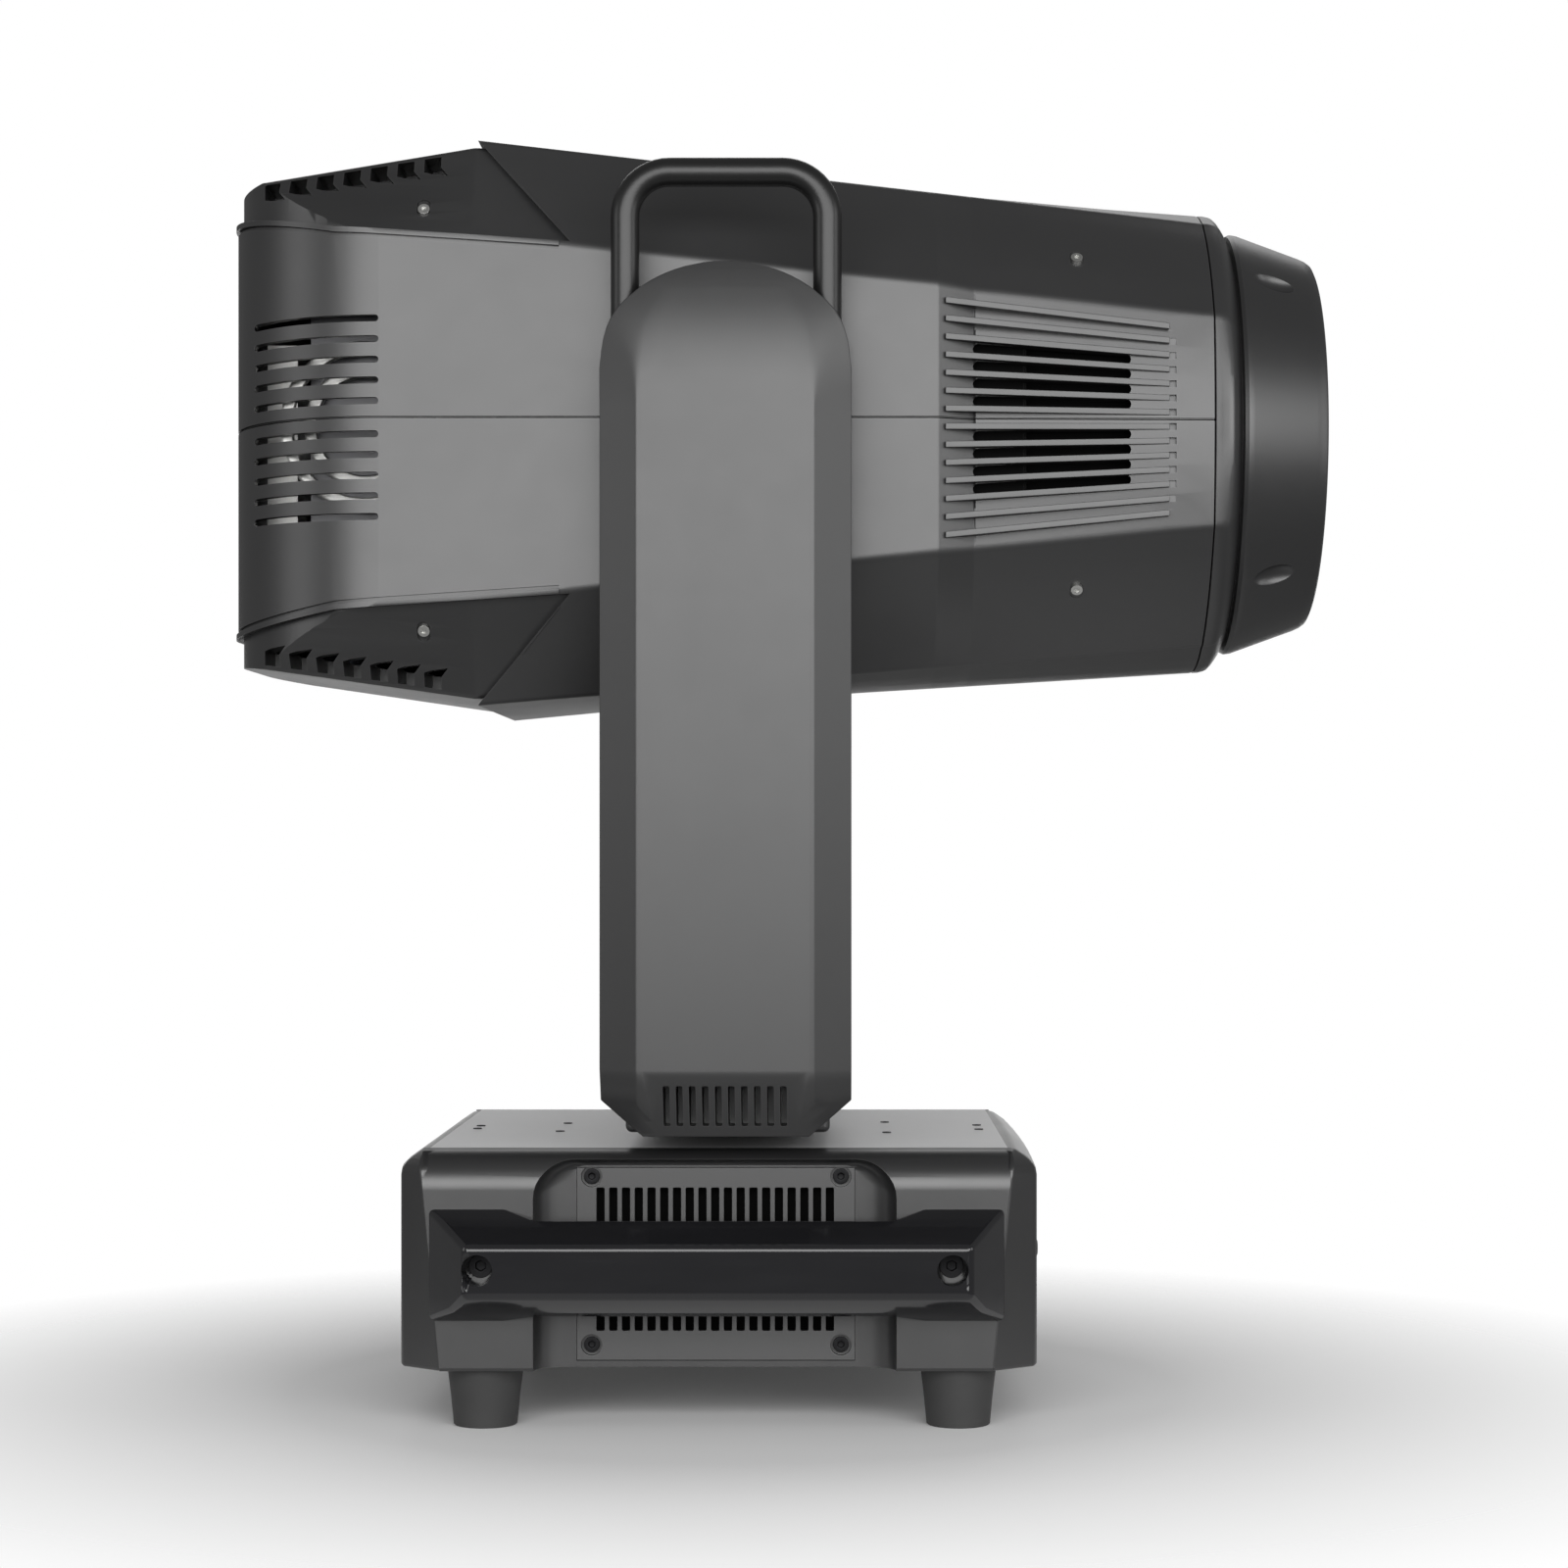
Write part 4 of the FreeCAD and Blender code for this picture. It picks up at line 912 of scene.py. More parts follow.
def build_vent_covers():
    """The rear vent covers above and below, a little sunk, with saw-tooth louvres."""
    cover = head_form("cover_outer", 3.2, 1.2)
    carve(cover, side_zone("cover_zone", 0.5))
    bevel_cut_edges(cover, 0.0025)
    carve(cover, head_form("cover_inner", 17.0))
    tools = notch_tools() + screw_pocket_tools(COVER_SCREWS, 4.4, 5.0)
    carve(cover, join("cover_tools", tools))
    for label, span in (("rear_vent_upper", (TILT_Z, TILT_Z + 300)),
                        ("rear_vent_lower", (TILT_Z - 300, TILT_Z))):
        half = copy_of(cover, label + "_look")
        carve(half, block("half_space", (-400, 0), (-250, 250), span), "INTERSECT")
        smooth(close_gaps(half), 30.0)
        dress(half, "hood", "head", "housing", label)
    discard(cover)
    build_head_screws("cover_screws", COVER_SCREWS, 3.0)


def circle_ring(x, radius, like):
    """A round ring whose points match another ring's directions."""
    points = []
    for _, y, z in like:
        way = Vector((y, z - TILT_Z)).normalized() * radius
        points.append((x, way.x, TILT_Z + way.y))
    return points


def build_collar():
    """The collar between the faceted shell and the round hood, with the dark barrel inside it."""
    base = head_ring(FRONT_X)
    rings = []
    for x, share, radius in ((FRONT_X + 0.9, 0.0, 153.5), (FRONT_X + 5, 0.15, 153.5),
                             (FRONT_X + 9, 0.5, 152.5), (FRONT_X + 12, 0.85, 150.0),
                             (FRONT_X + 15, 1.0, 146.5), (FRONT_X + 17.5, 1.0, 141.0),
                             (FRONT_X + 18.5, 1.0, 137.5), (FRONT_X + 22, 1.0, 136.5)):
        flat = [tuple(Vector(p) + Vector((x - FRONT_X, 0, 0))) for p in base]
        full = circle_ring(x, radius, base)
        rings.append([tuple(Vector(a).lerp(Vector(b), share)) for a, b in zip(flat, full)])
    collar = loft("front_collar_look", rings)
    carve(collar, rod("collar_bore", "x", (FRONT_X - 5, FRONT_X + 40), (0, TILT_Z), 112.0, 96))
    soften(collar, 0.0008, 2, 40.0)
    dress(collar, "housing", "head", "housing", "front_collar")
    profile = [(22.2, 135.8), (23, 135.8), (25, 120.0), (28, 114.0), (28, 111.0), (22.2, 111.0)]
    bezel = lathe("lens_bezel", [(FRONT_X + along, radius) for along, radius in profile], "x", (0, 0, TILT_Z))
    dress(smooth(bezel), "bar", "head", "housing")
    rings = []
    for k in range(11):
        x = FRONT_X + 8 - 12 * k
        rings += [(x, 111.4), (x - 7, 108.0), (x - 12, 108.0)]
    profile = [(FRONT_X + 12, 111.9)] + rings + [(rings[-1][0], 114.0), (FRONT_X + 12, 114.0)]
    inside = lathe("lens_barrel", profile, "x", (0, 0, TILT_Z))
    dress(smooth(inside), "hood", "head", "housing")


def build_hood():
    """The tapering lens hood with four leaf-shaped scallops and a rolled rim."""
    base = FRONT_X + 19
    profile = [(base, 137.0), (base + 1.5, 141.0), (base + 4, 142.2), (base + 8, 141.6), (HOOD_X - 8, 126.4)]
    profile += [(HOOD_X - 4, 124.6), (HOOD_X - 1.2, 122.6), (HOOD_X, 120.0), (HOOD_X - 0.6, 118.4)]
    profile += [(HOOD_X - 3, 117.8), (base + 20, 128.0), (base + 2, 132.0)]
    hood = lathe("lens_hood_look", profile, "x", (0, 0, TILT_Z), 160)
    slope = math.atan2(142.2 - 126.4, HOOD_X - 8 - base - 4)
    tools = []
    for turn in (45, 135, 225, 315):
        bm = bmesh.new()
        bmesh.ops.create_uvsphere(bm, u_segments=32, v_segments=16, radius=1.0)
        size = Matrix.Diagonal((16.0 * MM, 9.0 * MM, 8.0 * MM, 1.0))
        lean = Matrix.Rotation(slope, 4, "Y")
        out = Matrix.Translation(Vector((base + 27, 0, 138.4)) * MM)
        round_beam = Matrix.Translation((0, 0, TILT_Z * MM)) @ Matrix.Rotation(math.radians(turn), 4, "X")
        bmesh.ops.transform(bm, matrix=round_beam @ out @ lean @ size, verts=bm.verts)
        tools.append(from_bmesh(f"scallop_{turn}", bm))
    carve(hood, join("scallops", tools))
    dress(smooth(hood, 25.0), "hood", "head", "housing", "lens_hood")


def build_lens():
    """The domed front glass."""
    rim = 112.5
    profile = [(FRONT_X + 20, 0.0), (FRONT_X + 20, rim), (FRONT_X + 24, rim)]
    dome = 300.0
    for k in range(1, 13):
        radius = rim * (1 - k / 12)
        rise = math.sqrt(dome ** 2 - radius ** 2) - math.sqrt(dome ** 2 - rim ** 2)
        profile.append((FRONT_X + 24 + rise, max(radius, 0.0)))
    lens = lathe("front_lens_look", profile, "x", (0, 0, TILT_Z))
    dress(smooth(lens, 50.0), "lens", "head", "lens_glass", "front_lens")


# ---------------------------------------------------------------- yoke

ARCH = 91.0
ARM_HALF = 78.5
ARM_FLAT = 55.0
ARM_FOOT = 187.0
BAR_X, BAR_Y = 63.5, -195.0


def smooth_max(a, b, width):
    """The larger of two numbers, with a rounded change from one to the other."""
    share = max(0.0, min(1.0, 0.5 + 0.5 * (a - b) / width))
    return b + (a - b) * share + width * share * (1 - share)


def arm_half_width(z):
    """Half the arm's width at a height."""
    spring = math.sqrt(ARCH ** 2 - ARM_HALF ** 2)
    over = z - TILT_Z
    if over > spring - 18:
        arch = math.sqrt(max(ARCH ** 2 - over ** 2, 0.0))
        return -smooth_max(-ARM_HALF, -arch, 14.0)
    if z < ARM_FOOT + 23:
        return 52 + (ARM_HALF - 52) * (z - ARM_FOOT) / 23
    return ARM_HALF


def arm_drop(x, z):
    """How far the arm's face lies behind its flat panel; its side chamfers fade out at the dome."""
    over = max(z - TILT_Z, 0.0)
    fade = min(1.0, over / 70.0)
    slope = 14.0 / (ARM_HALF - ARM_FLAT) * (1.0 - 0.45 * fade)
    chamfer = smooth_max(0.0, (abs(x) - ARM_FLAT) * slope, 0.8 + 7.0 * fade)
    dome = 15.0 * (over / ARCH) ** 2.3
    foot = max(0.0, (230.0 - z) / 43.0) * 26.0
    return foot + chamfer + dome


def arm_skin(name):
    """The left arm's outside: a face of rows and columns, turned in round its edge and closed at the back."""
    rows = [ARM_FOOT, ARM_FOOT + 2, ARM_FOOT + 10, ARM_FOOT + 20, ARM_FOOT + 23, 216, 224, 229, 230, 231, 236]
    rows += [250 + 40 * i for i in range(10)]
    rows += [TILT_Z + 6 * i for i in range(12)] + [TILT_Z + 72 + 2.2 * i for i in range(8)]
    rows += [TILT_Z + ARCH - 1.0, TILT_Z + ARCH - 0.3]
    creases = [0.0, 0.3, 0.55, 0.66, 0.69, 0.701, 0.712, 0.74, 0.8, 0.88, 0.95, 0.985, 1.0]
    across = [-c for c in reversed(creases[1:])] + creases
    bm = bmesh.new()
    grid = []
    for z in sorted(rows):
        half = arm_half_width(z)
        grid.append([bm.verts.new(Vector((c * half, arm_drop(c * half, z) - ARM_Y, z)) * MM) for c in across])
    for lower, upper in zip(grid, grid[1:]):
        for i in range(len(across) - 1):
            bm.faces.new((lower[i], lower[i + 1], upper[i + 1], upper[i]))
    rim = [e for e in bm.edges if e.is_boundary]
    wall = bmesh.ops.extrude_edge_only(bm, edges=rim)
    back = [v for v in wall["geom"] if isinstance(v, bmesh.types.BMVert)]
    for v in back:
        v.co.y = -ARM_INNER_Y * MM
    bmesh.ops.holes_fill(bm, edges=[e for e in bm.edges if e.is_boundary], sides=0)
    return from_bmesh(name, bm)


def build_arm_covers():
    """Both arm covers, with ten vent slots in the slanted foot and holes for the bar handle."""
    arm = soften(arm_skin("arm_cover"), 0.0024, 3, 40.0)
    outline = rounded(oblong(-38.8, -34.6, 194, 220), 1.2, 3)
    slot = prism("arm_slot", outline, "y", -ARM_Y - 5, -ARM_Y + 46)
    carve(arm, repeated("arm_slots", slot, 10, (8.1, 0, 0), FINISH["housing"]))
    for x in (-BAR_X, BAR_X):
        carve(arm, rod("grip_hole", "z", (TILT_Z + 20, TILT_Z + 120), (x, BAR_Y), 9.6))
    smooth(arm, 32.0)
    both_sides(arm, "arm_cover_{}_look", "arm", "yoke", "housing", "arm_cover_{}")


def build_arm_handles():
    """The two round-bar handles, each a tube bent into a loop."""
    bend, thick, foot = 28.0, 9.0, TILT_Z + 22
    side, middle = BAR_X - bend, high_mm("arm_handle_left").z - thick - bend
    path = [(-BAR_X, foot)] + arc((-side, middle), bend, 180, 90, 12)
    path += arc((side, middle), bend, 90, 0, 12) + [(BAR_X, foot)]
    rings = []
    for i, (x, z) in enumerate(path):
        before = Vector(path[max(i - 1, 0)])
        after = Vector(path[min(i + 1, len(path) - 1)])
        way = (after - before).normalized()
        across = Vector((-way.y, 0, way.x)) * thick
        centre = Vector((x, BAR_Y, z))
        rings.append([tuple(centre + across * math.cos(t) + Vector((0, thick * math.sin(t), 0)))
                      for t in (2 * math.pi * k / 32 for k in range(32))])
    bar = smooth(loft("arm_bar", rings), 60.0)
    both_sides(bar, "arm_handle_{}_look", "bar", "yoke", "black_bar", "arm_handle_{}")


def build_crossbar():
    """The box section between the arms, with soft edges and a collar round the pan shaft."""
    low, high = low_mm("yoke_crossbar"), high_mm("yoke_crossbar")
    bar = block("yoke_crossbar_look", (low.x, high.x), (low.y, high.y), (low.z, high.z))
    soften(bar, 0.004, 4)
    dress(bar, "arm", "yoke", "frame_steel", "yoke_crossbar")
    profile = [(9.2, 40.0), (9.2, 52.0), (7, 54.0), (1, 56.0), (0, 56.0), (0, 40.0)]
    skirt = lathe("pan_skirt", [(low.z - down, radius) for down, radius in profile], "z", (0, 0, 0))
    dress(smooth(skirt), "arm", "yoke", "frame_steel")


# ---------------------------------------------------------------- base


def side_profile():
    """The side cover's section: a flat flank and a rolled top edge."""
    flank = [(-162.0, FLOOR_Z), (-SIDE_Y + 1.5, FLOOR_Z), (-SIDE_Y, FLOOR_Z + 2)]
    return flank + arc((-162.0, TOP_Z - 25), 25, 180, 90, 14)


RECESS = (-98.0, 83.0)


def recess_tool():
    """The tool for the vent recess: rounded upper corners and hollowed walls that run out into the panel."""
    rings = []
    for y, grow in ((-SIDE_Y - 8, 25.0), (-SIDE_Y, 24.0), (-179, 22.5), (-174, 19.5), (-170.5, 14.5),
                    (-168.5, 8.5), (-167, 0.0)):
        left, right, top = RECESS[0] - grow, RECESS[1] + grow, 166.5 + grow * 0.2
        bend = 8 + grow * 0.7
        outline = [(left, FLOOR_Z - 5), (right, FLOOR_Z - 5)]
        outline += arc((right - bend, top - bend), bend, 0, 90, 8)
        outline += arc((left + bend, top - bend), bend, 90, 180, 8)
        rings.append([(x, y, z) for x, z in outline])
    return loft("recess_tool", rings)


def build_side_covers():
    """Both side covers, each with its recess and panel opening, cut to a slant at the ends."""
    cover = prism("side_cover", side_profile(), "x", -194, 181)
    slant = [(-181.0, FLOOR_Z - 1), (167.5, FLOOR_Z - 1), (181.0, TOP_Z + 1), (-194.0, TOP_Z + 1)]
    carve(cover, prism("side_ends", slant, "y", -200, -100), "INTERSECT")
    carve(cover, recess_tool())
    soften(cover, 0.0022, 3, 30.0)
    carve(cover, block("panel_opening", (RECESS[0] + 2, RECESS[1] - 2), (-180, -150), (FLOOR_Z + 4, 165)))
    smooth(cover, 30.0)
    both_sides(cover, "side_cover_{}_look", "case", "base", "housing", "side_cover_{}")


PANEL_SCREWS = ((-86.5, 159.0), (72.0, 159.0), (-86.5, 52.0), (72.0, 52.0))


def build_vent_panels(sizes):
    """The recessed vent panels: two rows of slots and four counterbored screws each."""
    face = -SIDE_Y + 20
    panel = block("vent_panel", (RECESS[0] + 2.25, RECESS[1] - 2.25), (face, face + 6),
                  (FLOOR_Z + 4.4, 164.6))
    for low, high in ((61.0, 101.0), (113.0, 152.0)):
        outline = rounded(oblong(-83.4, -78.2, low, high), 1.0, 3)
        slot = prism("vent_slot", outline, "y", face - 5, face + 10)
        carve(panel, repeated("vent_slots", slot, sizes.slot_count, (8.1, 0, 0), FINISH["housing"]))
    screws = []
    for place in PANEL_SCREWS:
        carve(panel, rod("screw_seat", "y", (face + 4.6, face - 5.6), place, 6.7, 40))
        head = rod("screw_head", "y", (face + 4.6, face + 1.8), place, 5.0)
        carve(head, rod("screw_key", "y", (face + 3.8, face - 3.6), place, 2.2, 6))
        screws.append(soften(head, 0.0006, 2))
    soften(panel, 0.0005, 2, 40.0)
    # The dust filters take the near-black finish: painted shade behind the vent slots.
    filters = block("dust_filter", (RECESS[0] + 4, RECESS[1] - 4), (face + 9.5, face + 11),
                    (FLOOR_Z + 8, 160))
    both_sides(soften(filters, 0.0003, 2), "dust_filter_{}", "dark", "base", "fan_plastic")
    both_sides(panel, "vent_panel_{}_look", "panel", "base", "housing", "vent_panel_{}")
    left = join("panel_screws_left", screws)
    right = mirrored(left, "panel_screws_right")
    dress(left, "black_screw", "base", "screw_steel", "panel_screws")
    dress(right, "black_screw", "base", "screw_steel")


def end_form(name, rear):
    """An end cover: cut corners in plan, a sloping top edge and a slanted joint with the side covers."""
    sign = -1 if rear else 1
    inner, outer = (-194.0, -208.5) if rear else (181.0, 197.0)
    rings = []
    bulge = 0.0 if rear else 2.0
    for z, shift, pull in ((FLOOR_Z, 13.5, 0.0), (FLOOR_Z + 2, 13.4, 0.0), (160.0, 1.5, 0.0),
                           (166.0, 1.0, 1.0), (171.0, 0.5, 6.0), (176.5, 0.0, 14.0)):
        out = outer - sign * pull
        near = SIDE_Y - (0.6 if z < 165 else (z - 160) ** 2 / 18.0)
        join_x = inner - sign * shift
        corner = SIDE_Y - 25 - pull * 0.3
        edge = [(join_x, -near)]
        edge += [(out - sign * 1.5, -corner - 3), (out, -corner + 3)]
        edge += [(out + sign * bulge * (1 - (y / corner) ** 2), y) for y in (-100, -50, 0, 50, 100)]
        edge += [(out, corner - 3), (out - sign * 1.5, corner + 3), (join_x, near)]
        edge += [(sign * 165.0, near * 0.93), (sign * 165.0, -near * 0.93)]
        rings.append([(x, y, z) for x, y in edge])
    return loft(name, rings)


BUTTONS_Y = (-66.0, -88.0, -110.0, -132.0)
BUTTON_Z = 110.0


def build_front_end():
    """The front end cover with its display recess and button seats."""
    cover = end_form("front_end_cover_look", False)
    soften(cover, 0.002, 3, 24.0)
    carve(cover, prism("display_tool", rounded(oblong(-50, 50, 80, 140), 6, 5), "x", 196.2, 220))
    carve(cover, prism("window_tool", rounded(oblong(-45, 45, 85, 135), 3, 5), "x", 190, 220))
    for y in BUTTONS_Y:
        carve(cover, rod("button_seat", "x", (185, 220), (y, BUTTON_Z), 6.5, 40))
    dress(smooth(close_gaps(cover), 30), "case", "base", "housing", "front_end_cover")
    pane = prism("display_window_look", rounded(oblong(-44.6, 44.6, 85.4, 134.6), 2.8, 5), "x", 190.5, 195.2)
    dress(soften(pane, 0.0005, 2), "display", "base", "display_glass", "display_window")
    cap = ((9.5, 0.0), (9.5, 5.9), (1.6, 5.9), (0.5, 5.4), (0, 4.2), (0.5, 2.5), (0.7, 0.0))
    for i, y in enumerate(BUTTONS_Y):
        node = f"menu_button_{i + 1}"
        tip = high_mm(node).x
        profile = [(tip - back, radius) for back, radius in cap]
        button = lathe(node + "_look", profile, "x", (0, y, BUTTON_Z), 48)
        dress(smooth(button, 50), "belt", node, "button_rubber", node)


# Each kind of socket: places across, outer radius, bore, contacts.
SOCKETS = {"power": ((-120.0, -70.0), 14.0, 11.0, 3), "data": ((-15.0, 25.0, 65.0), 12.0, 8.0, 3),
           "network": ((110.0,), 12.0, 7.0, 4)}
SOCKET_Z = 105.0


def build_rear_end():
    """The rear end cover with its six sockets."""
    cover = end_form("rear_end_cover_look", True)
    soften(cover, 0.002, 3, 24.0)
    shapes = {"power": [], "data": []}
    face = low_mm("rear_end_cover").x
    panel = rounded(oblong(-150, 140, 70, 140), 8, 5)
    carve(cover, prism("socket_panel_tool", panel, "x", face - 5, face + 1.5))
    for kind, (places, radius, bore, pins) in SOCKETS.items():
        profile = ((16, 0.0), (16, radius), (1.5, radius), (1.5, radius + 4), (-1.2, radius + 4),
                   (-2, radius + 3), (-2, bore + 1), (-1.2, bore), (12, bore), (12, 0.0))
        profile = [(face + along, wide) for along, wide in profile]
        for y in places:
            carve(cover, rod("socket_hole", "x", (-190, face - 6), (y, SOCKET_Z), radius + 0.3, 48))
            parts = [smooth(lathe("socket_body", profile, "x", (0, y, SOCKET_Z), 48))]
            for k in range(pins):
                turn = 2 * math.pi * k / pins + math.pi / 2
                spot = (y + bore * 0.5 * math.cos(turn), SOCKET_Z + bore * 0.5 * math.sin(turn))
                parts.append(smooth(rod("contact", "x", (face + 12, face + 5), spot, 1.1, 12)))
            shapes["power" if kind == "power" else "data"] += parts
    dress(smooth(close_gaps(cover), 30), "case", "base", "housing", "rear_end_cover")
    for kind, parts in shapes.items():
        dress(join(f"{kind}_sockets_look", parts), "socket", "base", "socket_plastic", f"{kind}_sockets")


PLATE_SCREWS = ((-175, -12), (-175, 12), (-117, 34), (-117, -34),
                (103, 44), (103, -44), (166, 18), (166, -18))


def build_top_plate():
    """The painted sheet top with its small screws and folded edge."""
    low, high = low_mm("base_top_plate"), high_mm("base_top_plate")
    plate = block("base_top_plate_look", (low.x - 3, high.x + 3), (low.y + 0.4, high.y - 0.4),
                  (TOP_Z - 14, TOP_Z))
    carve(plate, rod("shaft_opening", "z", (TOP_Z - 30, TOP_Z + 5), (0, 0), 45.2, 64))
    soften(plate, 0.0006, 2)
    dress(plate, "sheet", "base", "top_sheet", "base_top_plate")
    screws = []
    for place in PLATE_SCREWS:
        head = rod("plate_screw", "z", (TOP_Z - 0.4, TOP_Z + 0.6), place, 3.0, 24)
        carve(head, rod("plate_screw_key", "z", (TOP_Z + 0.1, TOP_Z + 3), place, 1.3, 6))
        screws.append(soften(head, 0.0003, 2))
    dress(join("plate_screws", screws), "black_screw", "base", "screw_steel")


GRIP_BOLTS = (-153.0, 141.0)
GRIP_Z = 107.0
GRIP_Y = -232.0


def build_carry_handles():
    """The carry handles: gloss bars on two pillars, faceted like a casting, with bolt seats."""
    plan = [(-188.6, -SIDE_Y + 1), (-161, GRIP_Y), (153, GRIP_Y), (176, -SIDE_Y + 1),
            (RECESS[1] + 41, -SIDE_Y + 1), (RECESS[1] + 21, -200), (RECESS[0] - 21, -200),
            (RECESS[0] - 41, -SIDE_Y + 1)]
    grip = prism("carry_handle", plan, "z", 55, 160)
    profile = [(-SIDE_Y + 2, 69), (-215, 79), (GRIP_Y, 90), (GRIP_Y, 122), (-SIDE_Y + 2, 142)]
    carve(grip, prism("grip_profile", profile, "x", -220, 220), "INTERSECT")
    soften(grip, 0.0034, 4, 20.0)
    bolts = []
    for x in GRIP_BOLTS:
        carve(grip, rod("bolt_seat", "y", (-240, -202), (x, GRIP_Z), 9.7, 48))
        head = rod("bolt_head", "y", (-207, -202), (x, GRIP_Z), 7.6, 40)
        carve(head, rod("bolt_key", "y", (-209, -204), (x, GRIP_Z), 3.4, 6))
        bolts.append(soften(head, 0.0006, 2))
    smooth(grip, 30.0)
    both_sides(grip, "carry_handle_{}_look", "grip", "base", "black_grip", "carry_handle_{}")
    left = join("handle_bolts_left", bolts)
    right = mirrored(left, "handle_bolts_right")
    dress(left, "black_screw", "base", "screw_steel", "handle_bolts")
    dress(right, "black_screw", "base", "screw_steel")


def build_feet():
    """Four tapered feet with a moulded rim and a flat underside."""
    height = FLOOR_Z + 2
    profile = [(0.0, 0.0), (0.0, 17.0), (0.0, 19.4), (0.9, 20.3), (height * 0.5, 22.2), (height - 2, 24.4),
               (height, 24.6), (height, 0.0)]
    feet = []
    for x in (-155.0, 147.0):
        for y in (-155.0, 155.0):
            feet.append(smooth(lathe("foot", profile, "z", (x, y, 0), 64), 40))
    dress(join("feet_look", feet), "rubber", "base", "foot_rubber", "feet")


KEPT = {
    "base_tray": "black_paint", "power_supply": "zinc", "main_board": "board", "base_fan_frame": "socket",
    "base_fan_rotor": "socket", "pan_motor": "black_screw", "pan_pinion": "alloy", "pan_belt": "belt",
    "pan_bearing": "steel", "pan_shaft": "steel", "pan_pulley": "alloy", "arm_frame_left": "arm",
    "arm_frame_right": "arm", "tilt_motor": "black_screw", "tilt_pinion": "alloy", "tilt_belt": "belt",
    "tilt_bearings": "steel", "tilt_shafts": "steel", "tilt_pulley": "alloy", "head_frame": "black_paint",
    "heatsink": "sink", "led_module": "alloy", "head_fan_frame": "zinc", "head_fan_rotor": "steel",
    "zoom_carriage": "black_paint", "focus_carriage": "black_paint", "lens_rails": "steel",
    "colour_wheel": "alloy", "gobo_wheel": "alloy",
}


def dress_kept():
    """Finishes for the nodes whose shape is already right."""
    for node, finish in KEPT.items():
        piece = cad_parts[node]
        piece.data.materials.clear()
        piece.data.materials.append(FINISH[finish])


# ---------------------------------------------------------------- stage


def build_stage():
    """Pale floor, plain background, one front light, two rear and two end lights, and the camera."""
    bm = bmesh.new()
    bmesh.ops.create_circle(bm, cap_ends=True, segments=96, radius=4.0)
    floor = from_bmesh("floor", bm, False)
    shade = Shade("Pale_Floor")
    shade.feed("Base Color", (0.92, 0.92, 0.92, 1.0))
    shade.feed("Roughness", 0.7)
    shade.feed("Specular IOR Level", 0.1)
    far = shade.node("ShaderNodeVectorMath", {"operation": "LENGTH"}, [shade.place()], "Value")
    shade.feed("Alpha", (1.0 - (far - 0.3) * 2.3).clamp())
    floor.data.materials.append(shade.material)
    scene = bpy.context.scene
    scene.view_settings.view_transform = "Standard"
    world = bpy.data.worlds.new("Studio")
    scene.world = world
    world.use_nodes = True
    tree = world.node_tree
    ground = tree.nodes["Background"]
    ground.inputs["Color"].default_value = (1, 1, 1, 1)
    path = tree.nodes.new("ShaderNodeLightPath")
    level = tree.nodes.new("ShaderNodeMapRange")
    level.inputs["To Min"].default_value = 0.17
    level.inputs["To Max"].default_value = 1.0
    tree.links.new(path.outputs["Is Camera Ray"], level.inputs["Value"])
    tree.links.new(level.outputs["Result"], ground.inputs["Strength"])
    middle = Vector((0.03, 0, 0.45))
    for name, spot, size, glow in (("key", (0.35, -3.0, 1.08), (5.2, 1.75), 4.3),
                                   ("rear_low", (0.0, 2.6, 0.36), (3.2, 0.5), 1.5),
                                   ("rear_high", (0.0, 2.6, 2.4), (2.6, 1.0), 1.6),
                                   ("front_end", (3.0, -1.1, 1.0), (1.3, 1.6), 2.2),
                                   ("rear_end", (-3.0, -1.1, 1.0), (1.3, 1.6), 1.5)):
        data = bpy.data.lights.new(name, "AREA")
        data.shape = "RECTANGLE"
        data.size, data.size_y = size
        data.energy = glow * math.pi * size[0] * size[1]
        lamp = bpy.data.objects.new(name, data)
        scene.collection.objects.link(lamp)
        lamp.location = spot
        lamp.rotation_mode = "QUATERNION"
        lamp.rotation_quaternion = (middle - Vector(spot)).to_track_quat("-Z", "Y")
    lens = bpy.data.cameras.new("camera")
    lens.lens = 78.84
    lens.sensor_width = 36.0
    lens.shift_x = -0.03125
    lens.shift_y = 0.04375
    camera = bpy.data.objects.new("camera", lens)
    scene.collection.objects.link(camera)
    camera.location = (0.067, -2.35, 0.365)
    camera.rotation_euler = (math.radians(90), 0, 0)
    scene.camera = camera


# ---------------------------------------------------------------- operators


class LAMP_OT_finishes(Operator):
    """Mix the finishes and dress the pieces kept from the frame"""

    bl_idname = "lamp.finishes"
    bl_label = "Finishes"

    def execute(self, context):
        mix_finishes(context.scene.lamp_colours)
        dress_kept()
        return {"FINISHED"}


class LAMP_OT_shells(Operator):
    """Build the upper and lower head shells"""

    bl_idname = "lamp.shells"
    bl_label = "Head shells"

    def execute(self, context):
        build_head_shells(context.scene.lamp_sizes)
        build_lips()
        build_fan_rings()
        build_baffles()
        return {"FINISHED"}


class LAMP_OT_vents(Operator):
    """Build the rear vent covers"""

    bl_idname = "lamp.vents"
    bl_label = "Rear vent covers"

    def execute(self, context):
        build_vent_covers()
        return {"FINISHED"}


class LAMP_OT_front(Operator):
    """Build the collar, the hood and the lens"""

    bl_idname = "lamp.front"
    bl_label = "Collar, hood and lens"

    def execute(self, context):
        build_collar()
        build_hood()
        build_lens()
        return {"FINISHED"}


class LAMP_OT_yoke(Operator):
    """Build the arm covers, bar handles and crossbar"""

    bl_idname = "lamp.yoke"
    bl_label = "Yoke"

    def execute(self, context):
        build_arm_covers()
        build_arm_handles()
        build_crossbar()
        return {"FINISHED"}


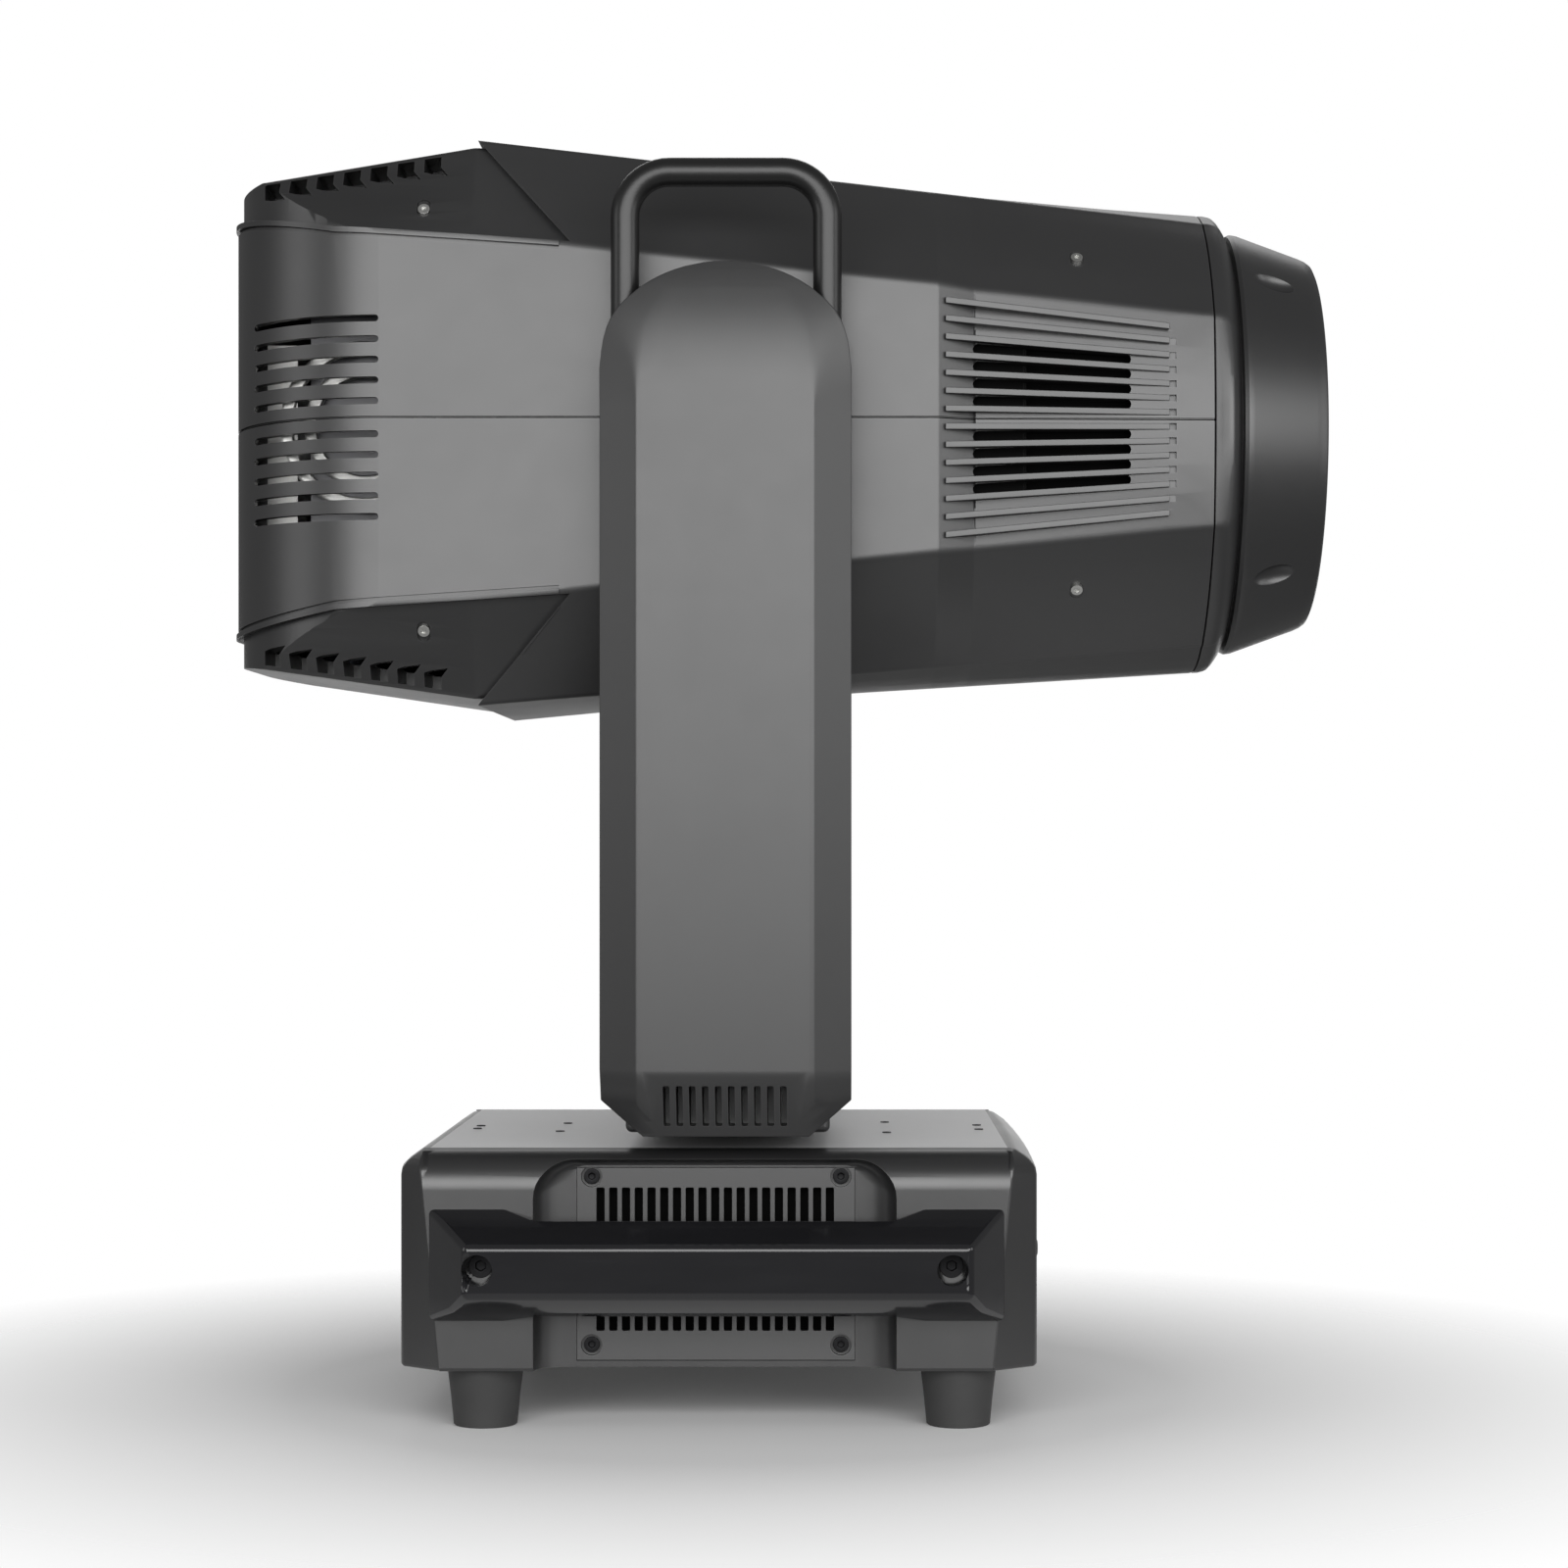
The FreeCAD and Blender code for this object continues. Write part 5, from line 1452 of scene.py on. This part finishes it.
class LAMP_OT_sides(Operator):
    """Build the base's side covers, vent panels and top plate"""

    bl_idname = "lamp.sides"
    bl_label = "Base sides and top"

    def execute(self, context):
        build_side_covers()
        build_vent_panels(context.scene.lamp_sizes)
        build_top_plate()
        return {"FINISHED"}


class LAMP_OT_ends(Operator):
    """Build the base's end covers with display, buttons and sockets"""

    bl_idname = "lamp.ends"
    bl_label = "Base ends"

    def execute(self, context):
        build_front_end()
        build_rear_end()
        return {"FINISHED"}


class LAMP_OT_handles(Operator):
    """Build the carry handles and the feet"""

    bl_idname = "lamp.handles"
    bl_label = "Carry handles and feet"

    def execute(self, context):
        build_carry_handles()
        build_feet()
        return {"FINISHED"}


class LAMP_OT_stage(Operator):
    """Build the floor, the lights and the camera"""

    bl_idname = "lamp.stage"
    bl_label = "Stage"

    def execute(self, context):
        build_stage()
        return {"FINISHED"}


STEPS = (LAMP_OT_stage, LAMP_OT_finishes, LAMP_OT_shells, LAMP_OT_vents, LAMP_OT_front, LAMP_OT_yoke,
         LAMP_OT_sides, LAMP_OT_ends, LAMP_OT_handles)


class LAMP_PT_panel(Panel):
    """The lamp's sizes, colours and build steps"""

    bl_idname = "LAMP_PT_panel"
    bl_label = "Moving Head Light"
    bl_space_type = "VIEW_3D"
    bl_region_type = "UI"
    bl_category = "Head Light"

    def draw(self, context):
        for group in (context.scene.lamp_sizes, context.scene.lamp_colours):
            for name in group.__annotations__:
                self.layout.prop(group, name)
        for step in STEPS:
            self.layout.operator(step.bl_idname)


CLASSES = (LampSizes, LampColours) + STEPS + (LAMP_PT_panel,)


def register():
    """Add the classes and the scene's settings."""
    for each in CLASSES:
        bpy.utils.register_class(each)
    bpy.types.Scene.lamp_sizes = PointerProperty(type=LampSizes)
    bpy.types.Scene.lamp_colours = PointerProperty(type=LampColours)


def unregister():
    """Remove them again."""
    del bpy.types.Scene.lamp_sizes
    del bpy.types.Scene.lamp_colours
    for each in reversed(CLASSES):
        bpy.utils.unregister_class(each)


def main():
    """Build everything in order."""
    register()
    for step in STEPS:
        space, name = step.bl_idname.split(".")
        getattr(getattr(bpy.ops, space), name)()


if __name__ == "__main__":
    main()
